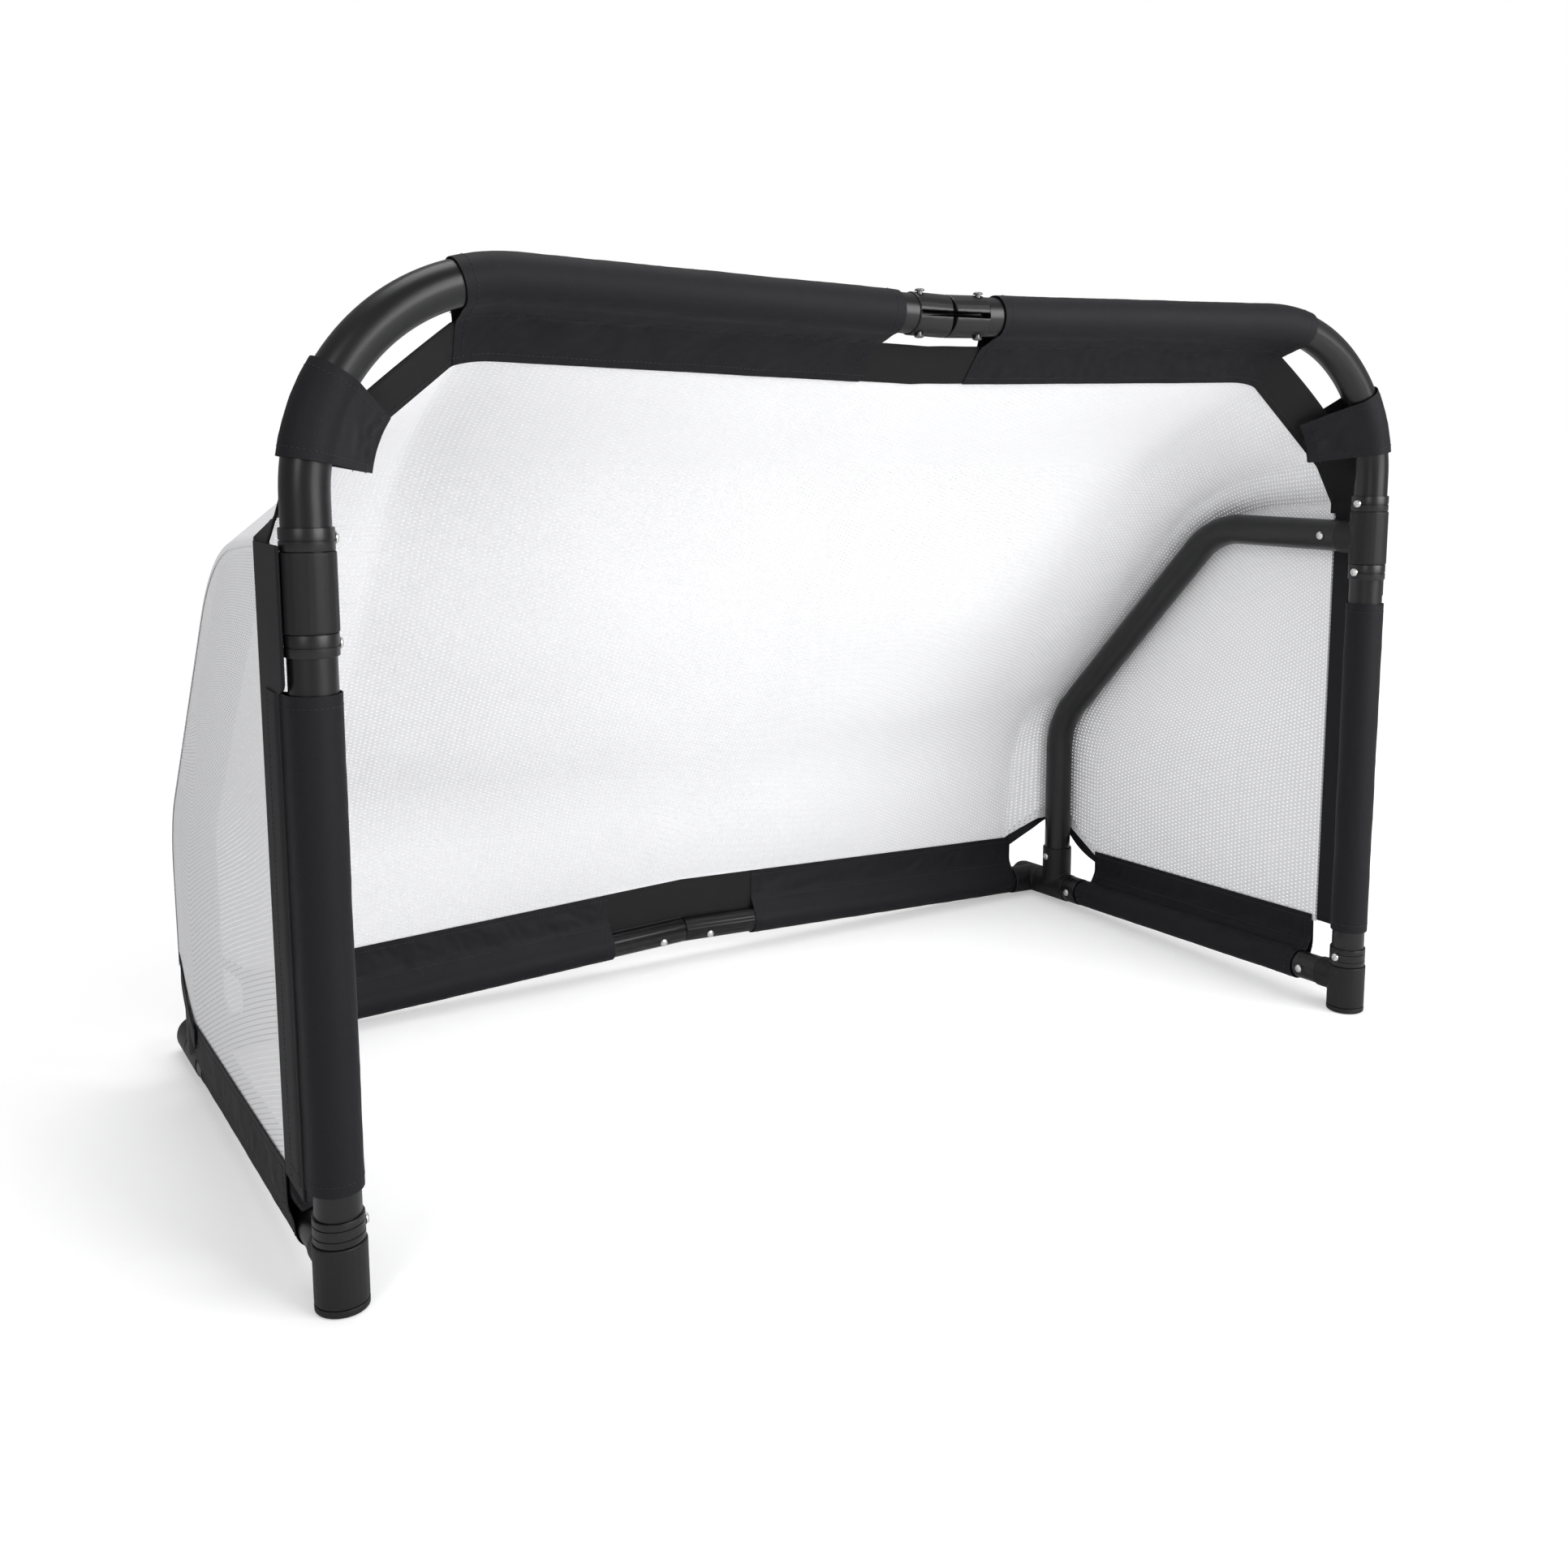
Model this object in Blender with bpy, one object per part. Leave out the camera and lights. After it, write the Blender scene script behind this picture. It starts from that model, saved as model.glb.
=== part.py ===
"""Folding soccer goal: a tubular frame that folds flat, with fabric sleeves and a net.

Each side frame (strut, floor bar and their tees) carries one bent arch tube that swivels
in the middle tee and the base tee. The crossbar folds rearwards and the rear bar folds
upwards, each at a centre hinge with a link plate on two pins, so that the side frames
stay parallel while they come together.

Metres, +Z up, +Y to the rear, the mouth faces -Y. The origin is on the floor, under the
middle of the goal. A side is -1 for left and +1 for right, and "inward" is the distance
from a post's axis towards the middle of the goal.
"""

import math

import bmesh
import bpy
from mathutils import Matrix, Vector

# Overall sizes
POST_SPACING = 1.164
CROSSBAR_HEIGHT = 0.787
STRUT_REACH = 0.513
REST_BOW = math.radians(2.1)
CROSSBAR_SAG = math.radians(1.33)

# Tubes
TUBE_RADIUS = 0.018
FLOOR_TUBE_RADIUS = 0.016
TUBE_WALL = 0.0015
TUBE_SIDES = 20
ARCH_BEND_RADIUS = 0.162
ARCH_BEND_STEPS = 8

# Clearances
RUNNING_GAP = 0.0004
SEAT_GAP = 0.0003

# Reach of the helper shapes that cut slots, holes and ends
CUTTER_REACH = 0.100

# Foot, base tee and side bar line
FOOT_DROP = 0.019
FOOT_CAP_HEIGHT = 0.006
FOOT_CAP_PLUG = 0.005
FOOT_CHAMFER = 0.001
BASE_TEE_RADIUS = 0.021
BASE_TEE_TOP = 0.055
BASE_BRANCH_RADIUS = 0.0175
BASE_BRANCH_REACH = 0.035
SPIGOT_LENGTH = 0.030

# Middle tee and collars on the post
MIDDLE_TEE_DROP = 0.234
MIDDLE_TEE_HALF = 0.0295
MIDDLE_TEE_RADIUS = 0.0205
STRUT_BRANCH_RADIUS = 0.0195
STRUT_BRANCH_REACH = 0.036
COLLAR_RADIUS = 0.0198
COLLAR_HEIGHT = 0.0168
BASE_COLLAR_HEIGHT = 0.0205
COLLAR_CHAMFER = 0.0008

# Strut
STRUT_UPPER_CORNER = 0.229
STRUT_LOWER_CORNER = 0.262
STRUT_BEND_RADIUS = 0.100
STRUT_BEND_STEPS = 5

# Rear corner
SOCKET_TEE_HALF = 0.0295
SOCKET_TEE_RADIUS = 0.0195
SOCKET_RADIUS = 0.0205
SOCKET_TOP = 0.079
SOCKET_FLOOR = 0.045
SOCKET_ROOT = 0.0055
REAR_BAR_OFFSET = 0.053
REAR_TEE_HALF = 0.022
REAR_TEE_RADIUS = 0.0195
REAR_TEE_DOME = 0.014
REAR_BRANCH_RADIUS = 0.0190
REAR_BRANCH_REACH = 0.045
REAR_TUBE_START = 0.0235
AXLE_END_GAP = 0.003
REAR_COLLAR_LENGTH = 0.026
REAR_COLLAR_RADIUS = 0.0184

# Centre hinges
HINGE_PIN_TO_SEAM = 0.033
HINGE_PIN_OFFSET = 0.007
HINGE_SEGMENT = 0.0405
HINGE_RADIUS = 0.0195
HINGE_SEAM_GAP = 0.0008
HINGE_SPIGOT = 0.035
LINK_HALF_WIDTH = 0.006
LINK_THICKNESS = 0.004
PIN_RADIUS = 0.0025
PIN_HEAD_RADIUS = 0.0046
PIN_HEAD_HEIGHT = 0.0020

# Screws
SCREW_RADIUS = 0.0020
SCREW_HEAD_RADIUS = 0.0046
SCREW_HEAD_HEIGHT = 0.0024
SCREW_SOCKET_RADIUS = 0.0022
SCREW_SOCKET_DEPTH = 0.0014
STRUT_SCREW_REACH = 0.052
SIDE_SCREW_REACH = 0.056

# Fabric sleeves and bands
FABRIC_GAP = 0.0006
FABRIC_THICKNESS = 0.0012
HEAVY_FABRIC_THICKNESS = 0.0022
FLAP_THICKNESS = 0.0020
FABRIC_SIDES = 16
CROSSBAR_FLAP_ANGLE = math.radians(48.0)
CROSSBAR_FLAP_LENGTH = 0.079
CROSSBAR_SLEEVE_STEPS = 6.5
CROSSBAR_SLEEVE_END = 0.0567
PATCH_START_STEPS = 0.8
PATCH_END_STEPS = 2.9
PATCH_FLAP_LENGTH = 0.060
PATCH_FLAP_ANGLE = math.radians(45.0)
POST_SLEEVE_BOTTOM = 0.097
POST_SLEEVE_DROP = 0.074
POST_BAND_BOTTOM = 0.087
POST_BAND_RISE = 0.067
POST_BAND_REACH = 0.066
POST_BAND_FREE_START = 0.0225
BAND_ROOT = 0.003
SIDE_SLEEVE_START = 0.068
SIDE_SLEEVE_END_GAP = 0.005
SIDE_FLAP_HEIGHT = 0.058
REAR_SLEEVE_START = 0.048
REAR_SLEEVE_END = 0.100
REAR_FLAP_HEIGHT = 0.065
BAND_START = 0.036
BAND_END_GAP = 0.004
REAR_BAND_START = 0.022

# Net
NET_THICKNESS = 0.0020
NET_STRAND_WIDTH = 0.0045
NET_LAP = 0.008
HEM_GAP = 0.0007
NET_CORNER_TUCK = 0.008
NET_CORNER_RISE = 0.012
NET_CORNER_RUN = 0.030
BACK_NET_COLUMNS = 6
NET_ROWS = 9
SIDE_NET_COLUMNS = 5
NET_BULGE_AT_MIDDLE = 0.25
NET_BULGE_DECAY = 1.8
NET_CORNER_HEIGHT = 0.112
NET_UPPER_ROUNDING = 0.250
NET_STRUT_GAP = 0.0025

# Sizes that follow from the ones above
HALF_WIDTH = POST_SPACING / 2
MIDDLE_TEE_HEIGHT = CROSSBAR_HEIGHT - MIDDLE_TEE_DROP
POST_SLEEVE_TOP = MIDDLE_TEE_HEIGHT - POST_SLEEVE_DROP
POST_BAND_TOP = MIDDLE_TEE_HEIGHT + POST_BAND_RISE
REAR_BAR_REACH = STRUT_REACH + REAR_BAR_OFFSET
SIDE_BAR_HEIGHT = FOOT_DROP + BASE_BRANCH_RADIUS
REAR_TEE_END = REAR_BAR_REACH + REAR_TEE_HALF
SIDE_BAR_SLOPE = math.asin((SIDE_BAR_HEIGHT - REAR_TEE_RADIUS) / REAR_TEE_END)
SOCKET_PLACE = STRUT_REACH / math.cos(SIDE_BAR_SLOPE)
REAR_COLLAR_END = SOCKET_PLACE - SOCKET_TEE_HALF - SEAT_GAP
SIDE_SLEEVE_END = REAR_COLLAR_END - REAR_COLLAR_LENGTH - SIDE_SLEEVE_END_GAP
DOME_END = REAR_TEE_END + REAR_TEE_DOME
POST_Y = (BASE_TEE_RADIUS - DOME_END * math.cos(SIDE_BAR_SLOPE)) / 2
# The lever from a post's axis to its hinge pin, in a bar that lies straight
PIN_REACH = (
    HALF_WIDTH - HINGE_PIN_TO_SEAM - HINGE_PIN_OFFSET * math.sin(REST_BOW)
) / math.cos(REST_BOW)
BAR_HALF = PIN_REACH + HINGE_PIN_TO_SEAM
PIN_TRAVEL = PIN_REACH * math.sin(REST_BOW) - HINGE_PIN_OFFSET * math.cos(REST_BOW)
PIN_HEIGHT = CROSSBAR_HEIGHT - PIN_REACH * math.tan(CROSSBAR_SAG)
NET_OFFSET = MIDDLE_TEE_RADIUS + NET_THICKNESS / 2 - 0.0006
STRUT_FOOT = SOCKET_FLOOR + SEAT_GAP


def clear_scene():
    for obj in list(bpy.data.objects):
        bpy.data.objects.remove(obj, do_unlink=True)


# Materials


def make_material(name, colour, roughness, metallic):
    material = bpy.data.materials.new(name)
    material.use_nodes = True
    shader = material.node_tree.nodes["Principled BSDF"]
    shader.inputs["Base Color"].default_value = (*colour, 1.0)
    shader.inputs["Roughness"].default_value = roughness
    shader.inputs["Metallic"].default_value = metallic
    return material


def make_materials():
    return {
        "tube": make_material("black_powder_coat", (0.012, 0.012, 0.013), 0.42, 0.0),
        "fitting": make_material("black_moulding", (0.020, 0.020, 0.021), 0.55, 0.0),
        "collar": make_material("black_collar", (0.016, 0.016, 0.017), 0.35, 0.0),
        "zinc": make_material("zinc_plate", (0.62, 0.62, 0.60), 0.30, 1.0),
        "plate": make_material("dark_steel", (0.10, 0.10, 0.10), 0.40, 1.0),
        "fabric": make_material("black_woven_fabric", (0.018, 0.018, 0.024), 0.85, 0.0),
        "band": make_material("charcoal_band", (0.028, 0.028, 0.029), 0.80, 0.0),
        "net": make_material("white_knit_net", (0.85, 0.85, 0.87), 0.75, 0.0),
    }


# Objects and parents


def add_object(name, bm, material, parent=None, smooth_angle=40.0):
    """Turns a bmesh into an object with outward faces and rounded shading."""
    bmesh.ops.remove_doubles(bm, verts=bm.verts, dist=1e-6)
    bmesh.ops.recalc_face_normals(bm, faces=bm.faces)
    mesh = bpy.data.meshes.new(name)
    bm.to_mesh(mesh)
    bm.free()
    mesh.shade_smooth()
    mesh.set_sharp_from_angle(angle=math.radians(smooth_angle))
    obj = bpy.data.objects.new(name, mesh)
    bpy.context.collection.objects.link(obj)
    if material:
        mesh.materials.append(material)
    obj.parent = parent
    return obj


def add_empty(name, location, rotation=None, parent=None):
    empty = bpy.data.objects.new(name, None)
    empty.empty_display_size = 0.05
    empty.location = location
    if rotation is not None:
        empty.rotation_euler = rotation.to_euler()
    bpy.context.collection.objects.link(empty)
    empty.parent = parent
    return empty


def combine(obj, other, operation):
    """Adds a Boolean with a helper object, which is left out of the model."""
    other.hide_render = True
    other.display_type = "WIRE"
    modifier = obj.modifiers.new(operation.title() + "_" + other.name, "BOOLEAN")
    modifier.operation = operation
    modifier.object = other
    modifier.solver = "EXACT"
    return obj


def cut(obj, other):
    return combine(obj, other, "DIFFERENCE")


def join(obj, other):
    return combine(obj, other, "UNION")


# Shapes


def perpendicular(direction, hint=None):
    """Two axes square to a direction, the first as near as can be to the hint."""
    hint = Vector(hint) if hint is not None else Vector((0, 0, 1))
    if abs(direction.normalized().dot(hint)) > 0.9:
        hint = Vector((0, 1, 0))
    first = (hint - direction * hint.dot(direction)).normalized()
    return first, direction.cross(first).normalized()


def ring_points(centre, first, second, radius, sides):
    steps = [2 * math.pi * k / sides for k in range(sides)]
    return [centre + radius * (math.cos(t) * first + math.sin(t) * second) for t in steps]


def skin(bm, loops, closed_path=False):
    """Joins rings of equal count with quads."""
    pairs = list(zip(loops, loops[1:]))
    if closed_path:
        pairs.append((loops[-1], loops[0]))
    for low, high in pairs:
        count = len(low)
        for k in range(count):
            n = (k + 1) % count
            bm.faces.new((low[k], low[n], high[n], high[k]))


def turned(name, start, direction, profile, material, parent, sides=24, hint=None):
    """A shape turned about a line. The profile holds (radius, distance along the line):
    it is closed when it keeps clear of the axis, and otherwise starts and ends on it."""
    bm = bmesh.new()
    start = Vector(start)
    direction = Vector(direction).normalized()
    first, second = perpendicular(direction, hint)
    rings = []
    for radius, along in profile:
        centre = start + direction * along
        if radius > 0:
            points = ring_points(centre, first, second, radius, sides)
        else:
            points = [centre]
        rings.append([bm.verts.new(p) for p in points])
    pairs = list(zip(rings, rings[1:]))
    if len(rings[0]) > 1 and len(rings[-1]) > 1:
        pairs.append((rings[-1], rings[0]))
    for low, high in pairs:
        for k in range(sides):
            n = (k + 1) % sides
            corners = [low[k % len(low)], low[n % len(low)], high[n % len(high)], high[k % len(high)]]
            bm.faces.new(list(dict.fromkeys(corners)))
    return add_object(name, bm, material, parent)


def rod(name, start, end, radius, material=None, parent=None, sides=24, hint=None):
    start, end = Vector(start), Vector(end)
    length = (end - start).length
    profile = [(0, 0), (radius, 0), (radius, length), (0, length)]
    return turned(name, start, end - start, profile, material, parent, sides, hint)


def pipe_profile(outer, inner, low, high, chamfer=0.0):
    """The closed profile of a plain ring, with its outer edges chamfered."""
    if not chamfer:
        return [(inner, low), (outer, low), (outer, high), (inner, high)]
    edge = outer - chamfer
    return [
        (inner, low),
        (edge, low),
        (outer, low + chamfer),
        (outer, high - chamfer),
        (edge, high),
        (inner, high),
    ]


def box(name, low, high, parent=None, material=None):
    bm = bmesh.new()
    bmesh.ops.create_cube(bm, size=1.0)
    low, high = Vector(low), Vector(high)
    size = high - low
    matrix = Matrix.Translation((low + high) / 2) @ Matrix.Diagonal((*size, 1.0))
    bmesh.ops.transform(bm, matrix=matrix, verts=bm.verts)
    return add_object(name, bm, material, parent, smooth_angle=1.0)


def prism(name, outline, axis, low, high, parent=None, material=None):
    """An outline of 2D points extruded along Y (in XZ) or along Z (in XY)."""
    bm = bmesh.new()

    def place(point, along):
        if axis == "Z":
            return (point[0], point[1], along)
        return (point[0], along, point[1])

    bottom = [bm.verts.new(place(p, low)) for p in outline]
    top = [bm.verts.new(place(p, high)) for p in outline]
    bm.faces.new(bottom)
    bm.faces.new(top)
    skin(bm, [bottom, top])
    return add_object(name, bm, material, parent, smooth_angle=30.0)


def frames(path, across):
    """The frame at each point of a path that lies square to the vector across: the point,
    across, and the path's own normal, stretched so that corners keep their thickness."""
    across = Vector(across).normalized()
    result = []
    for k, point in enumerate(path):
        into = (point - path[k - 1]).normalized() if k else None
        out = (path[k + 1] - point).normalized() if k + 1 < len(path) else None
        tangent = (into + out).normalized() if into and out else (into or out)
        stretch = 1 / max(0.5, tangent.dot(out or into))
        result.append((point, across, across.cross(tangent).normalized() * stretch))
    return result


def sweep(name, path, outer, inner, material, parent, across=(0, 1, 0)):
    """Sweeps a 2D loop along a path. A loop's points are (along across, along the path's
    normal). With an inner loop it is hollow."""
    bm = bmesh.new()

    def rings(loop):
        return [
            [bm.verts.new(point + a * aside + b * normal) for a, b in loop]
            for point, aside, normal in frames(path, across)
        ]

    outer_rings = rings(outer)
    skin(bm, outer_rings)
    if inner:
        inner_rings = rings(inner)
        skin(bm, inner_rings)
        for end in (0, -1):
            skin(bm, [outer_rings[end], inner_rings[end]])
    else:
        bm.faces.new(outer_rings[0])
        bm.faces.new(outer_rings[-1])
    return add_object(name, bm, material, parent)


def circle(radius, sides):
    steps = [2 * math.pi * (k + 0.5) / sides for k in range(sides)]
    return [(radius * math.cos(t), radius * math.sin(t)) for t in steps]


def strip(start, end, angle, thickness):
    """A thin rectangle that points away from the path at an angle."""
    along = Vector((math.cos(angle), math.sin(angle)))
    side = Vector((-along.y, along.x)) * (thickness / 2)
    corners = [along * start - side, along * end - side, along * end + side, along * start + side]
    return [tuple(c) for c in corners]


def rounded_path(corners, radii, steps):
    """A polyline whose inner corners are arcs of the given radii."""
    corners = [Vector(c) for c in corners]
    path = [corners[0]]
    for k, radius in enumerate(radii, start=1):
        back = (corners[k - 1] - corners[k]).normalized()
        ahead = (corners[k + 1] - corners[k]).normalized()
        turn = math.pi - back.angle(ahead)
        tangent = radius * math.tan(turn / 2)
        centre = corners[k] + (back + ahead).normalized() * radius / math.cos(turn / 2)
        first = corners[k] + back * tangent - centre
        axis = first.cross(corners[k] + ahead * tangent - centre).normalized()
        for n in range(steps + 1):
            path.append(centre + Matrix.Rotation(turn * n / steps, 3, axis) @ first)
    path.append(corners[-1])
    return path


# The arch: one bent tube that is a post and half of the crossbar


def bar_direction(side):
    return Vector((-side * math.cos(CROSSBAR_SAG), 0, -math.sin(CROSSBAR_SAG)))


def bar_point(side, inward, below=0.0):
    """A point on the crossbar's axis in the arch's own frame."""
    return Vector((-side * inward, 0, CROSSBAR_HEIGHT - inward * math.tan(CROSSBAR_SAG) - below))


def bend_point(side, step):
    """A point on the arch's faceted bend, counted in steps from the post end."""
    turn = math.pi / 2 + CROSSBAR_SAG
    base = CROSSBAR_HEIGHT - ARCH_BEND_RADIUS * math.tan(turn / 2)

    def corner(k):
        angle = turn * k / ARCH_BEND_STEPS
        inward = ARCH_BEND_RADIUS * (1 - math.cos(angle))
        return Vector((-side * inward, 0, base + ARCH_BEND_RADIUS * math.sin(angle)))

    whole = math.floor(step)
    return corner(whole).lerp(corner(whole + 1), step - whole)


def bend_points(side, start, end):
    """The points of the bend between two steps, with its own corners in between."""
    corners = range(math.floor(start) + 1, math.ceil(end))
    return [bend_point(side, k) for k in (start, *corners, end)]


def arch_path(side):
    tube_end = BAR_HALF - HINGE_SEGMENT
    corners = [
        (0, 0, FOOT_CAP_HEIGHT + FOOT_CAP_PLUG + SEAT_GAP),
        (0, 0, CROSSBAR_HEIGHT),
        bar_point(side, tube_end),
    ]
    return rounded_path(corners, [ARCH_BEND_RADIUS], ARCH_BEND_STEPS)


def tube(name, path, radius, material, parent, across=(0, 1, 0)):
    outer = circle(radius, TUBE_SIDES)
    inner = circle(radius - TUBE_WALL, TUBE_SIDES)
    return sweep(name, path, outer, inner, material, parent, across)


def knuckle_outline(side, reach):
    """Seen square to the hinge, the end of a bar: flat on the side that opens, and round
    about the pin on the side that closes."""
    radius = HINGE_PIN_TO_SEAM - HINGE_SEAM_GAP / 2
    points = [(PIN_REACH - reach, CUTTER_REACH), (PIN_REACH + radius, CUTTER_REACH)]
    for k in range(7):
        angle = math.radians(-10.0 * k)
        down = -HINGE_PIN_OFFSET + radius * math.sin(angle)
        points.append((PIN_REACH + radius * math.cos(angle), down))
    points.append((PIN_REACH - reach, points[-1][1]))
    return [(-side * x, y) for x, y in points]


def slot_limits(side):
    """The slot's reach along the bar and across it, round the link plate."""
    room = LINK_HALF_WIDTH + RUNNING_GAP
    inner = PIN_REACH - room
    outer = BAR_HALF + HINGE_PIN_OFFSET
    low, high = sorted((-side * inner, -side * outer))
    return low, high, -HINGE_PIN_OFFSET + room


def make_hinge_half(side, name, materials, parent):
    """The moulded end of the crossbar: a slotted knuckle with a spigot in the tube."""
    direction = bar_direction(side)
    start = bar_point(side, BAR_HALF - HINGE_SEGMENT) + direction * SEAT_GAP
    bore = TUBE_RADIUS - TUBE_WALL - SEAT_GAP
    profile = [
        (0, -HINGE_SPIGOT),
        (bore, -HINGE_SPIGOT),
        (bore, 0),
        (HINGE_RADIUS - COLLAR_CHAMFER, 0),
        (HINGE_RADIUS, COLLAR_CHAMFER),
        (HINGE_RADIUS, HINGE_SEGMENT + 0.004),
        (0, HINGE_SEGMENT + 0.004),
    ]
    half = turned(name, start, direction, profile, materials["fitting"], parent)
    outline = knuckle_outline(side, CUTTER_REACH)
    below, above = PIN_HEIGHT - CUTTER_REACH, PIN_HEIGHT + CUTTER_REACH
    limits = prism(name + "_end_shape", outline, "Z", below, above, parent)
    combine(half, limits, "INTERSECT")
    low, high, back = slot_limits(side)
    room = LINK_THICKNESS / 2 + SEAT_GAP
    front = (low, -CUTTER_REACH, PIN_HEIGHT - room)
    slot = box(name + "_slot", front, (high, back, PIN_HEIGHT + room), parent)
    cut(half, slot)
    x = -side * PIN_REACH
    hole = rod(
        name + "_pin_hole",
        (x, -HINGE_PIN_OFFSET, below),
        (x, -HINGE_PIN_OFFSET, above),
        PIN_RADIUS + SEAT_GAP,
        parent=parent,
        sides=16,
    )
    return cut(half, hole)


def make_collar(name, low, height, materials, parent, screw_facing):
    """A clamp ring on the post, with a hole for its screw."""
    profile = pipe_profile(COLLAR_RADIUS, TUBE_RADIUS + RUNNING_GAP, low, low + height, COLLAR_CHAMFER)
    collar = turned(name, (0, 0, 0), (0, 0, 1), profile, materials["collar"], parent)
    start = Vector((0, 0, low + height / 2))
    facing = Vector(screw_facing)
    hole = rod(
        name + "_screw_hole",
        start + facing * (TUBE_RADIUS - 0.002),
        start + facing * CUTTER_REACH / 2,
        SCREW_RADIUS + SEAT_GAP,
        parent=parent,
        sides=12,
    )
    cut(collar, hole)
    return make_screw(name + "_screw", start, facing, TUBE_RADIUS, COLLAR_RADIUS, materials, parent)


def make_screw(name, centre, facing, inner, outer, materials, parent):
    """A socket screw that stands out of a round piece: its point ends at the inner radius
    and its head rests on the outer one."""
    seat = outer + SEAT_GAP
    top = seat + SCREW_HEAD_HEIGHT
    profile = [
        (0, inner + SEAT_GAP),
        (SCREW_RADIUS, inner + SEAT_GAP),
        (SCREW_RADIUS, seat),
        (SCREW_HEAD_RADIUS, seat),
        (SCREW_HEAD_RADIUS * 0.94, seat + SCREW_HEAD_HEIGHT * 0.6),
        (SCREW_HEAD_RADIUS * 0.65, top),
        (SCREW_SOCKET_RADIUS, top),
        (SCREW_SOCKET_RADIUS, top - SCREW_SOCKET_DEPTH),
        (0, top - SCREW_SOCKET_DEPTH),
    ]
    return turned(name, centre, facing, profile, materials["zinc"], parent, sides=12)


def make_arch(side, label, materials, parent):
    tube(label + "_arch_tube", arch_path(side), TUBE_RADIUS, materials["tube"], parent)
    make_hinge_half(side, label + "_crossbar_hinge", materials, parent)
    inward = (-side, 0, 0)
    tee_low = MIDDLE_TEE_HEIGHT - MIDDLE_TEE_HALF
    tee_high = MIDDLE_TEE_HEIGHT + MIDDLE_TEE_HALF
    collars = (
        ("_upper_collar", tee_high + RUNNING_GAP, COLLAR_HEIGHT),
        ("_lower_collar", tee_low - RUNNING_GAP - COLLAR_HEIGHT, COLLAR_HEIGHT),
        ("_base_collar", BASE_TEE_TOP + RUNNING_GAP, BASE_COLLAR_HEIGHT),
    )
    for name, low, height in collars:
        make_collar(label + name, low, height, materials, parent, inward)


# The side frame: tees, strut and side bar


def line_point(along, below=0.0):
    """A point on the side bar's axis, in the side frame's own frame."""
    height = SIDE_BAR_HEIGHT - along * math.sin(SIDE_BAR_SLOPE) - below
    return Vector((0, along * math.cos(SIDE_BAR_SLOPE), height))


def make_middle_tee(label, materials, parent):
    low = MIDDLE_TEE_HEIGHT - MIDDLE_TEE_HALF
    high = MIDDLE_TEE_HEIGHT + MIDDLE_TEE_HALF
    profile = [(0, low), (MIDDLE_TEE_RADIUS, low), (MIDDLE_TEE_RADIUS, high), (0, high)]
    tee = turned(label + "_middle_tee", (0, 0, 0), (0, 0, 1), profile, materials["fitting"], parent)
    spigot = TUBE_RADIUS - TUBE_WALL - SEAT_GAP
    end = STRUT_BRANCH_REACH + SPIGOT_LENGTH
    branch = turned(
        label + "_middle_tee_branch",
        (0, 0, MIDDLE_TEE_HEIGHT),
        (0, 1, 0),
        [
            (0, 0.002),
            (STRUT_BRANCH_RADIUS, 0.002),
            (STRUT_BRANCH_RADIUS, STRUT_BRANCH_REACH),
            (spigot, STRUT_BRANCH_REACH),
            (spigot, end),
            (0, end),
        ],
        None,
        parent,
    )
    join(tee, branch)
    bore = rod(
        label + "_middle_tee_bore",
        (0, 0, low - CUTTER_REACH),
        (0, 0, high + CUTTER_REACH),
        TUBE_RADIUS + RUNNING_GAP,
        parent=parent,
    )
    return cut(tee, bore)


def make_base_tee(label, materials, parent):
    low = FOOT_CAP_HEIGHT + SEAT_GAP
    profile = [(0, low), (BASE_TEE_RADIUS, low), (BASE_TEE_RADIUS, BASE_TEE_TOP), (0, BASE_TEE_TOP)]
    tee = turned(label + "_base_tee", (0, 0, 0), (0, 0, 1), profile, materials["fitting"], parent)
    spigot = FLOOR_TUBE_RADIUS - TUBE_WALL - SEAT_GAP
    end = BASE_BRANCH_REACH + SPIGOT_LENGTH
    branch = turned(
        label + "_base_tee_branch",
        line_point(0),
        line_point(1) - line_point(0),
        [
            (0, 0.002),
            (BASE_BRANCH_RADIUS, 0.002),
            (BASE_BRANCH_RADIUS, BASE_BRANCH_REACH),
            (spigot, BASE_BRANCH_REACH),
            (spigot, end),
            (0, end),
        ],
        None,
        parent,
    )
    join(tee, branch)
    bore = rod(
        label + "_base_tee_bore",
        (0, 0, low - CUTTER_REACH),
        (0, 0, BASE_TEE_TOP + CUTTER_REACH),
        TUBE_RADIUS + RUNNING_GAP,
        parent=parent,
    )
    return cut(tee, bore)


def make_foot_cap(label, materials, parent):
    edge = BASE_TEE_RADIUS - FOOT_CHAMFER
    plug_top = FOOT_CAP_HEIGHT + FOOT_CAP_PLUG
    profile = [
        (0, 0),
        (edge, 0),
        (BASE_TEE_RADIUS, FOOT_CHAMFER),
        (BASE_TEE_RADIUS, FOOT_CAP_HEIGHT),
        (TUBE_RADIUS, FOOT_CAP_HEIGHT),
        (TUBE_RADIUS, plug_top),
        (0, plug_top),
    ]
    return turned(label + "_foot_cap", (0, 0, 0), (0, 0, 1), profile, materials["fitting"], parent)


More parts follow.
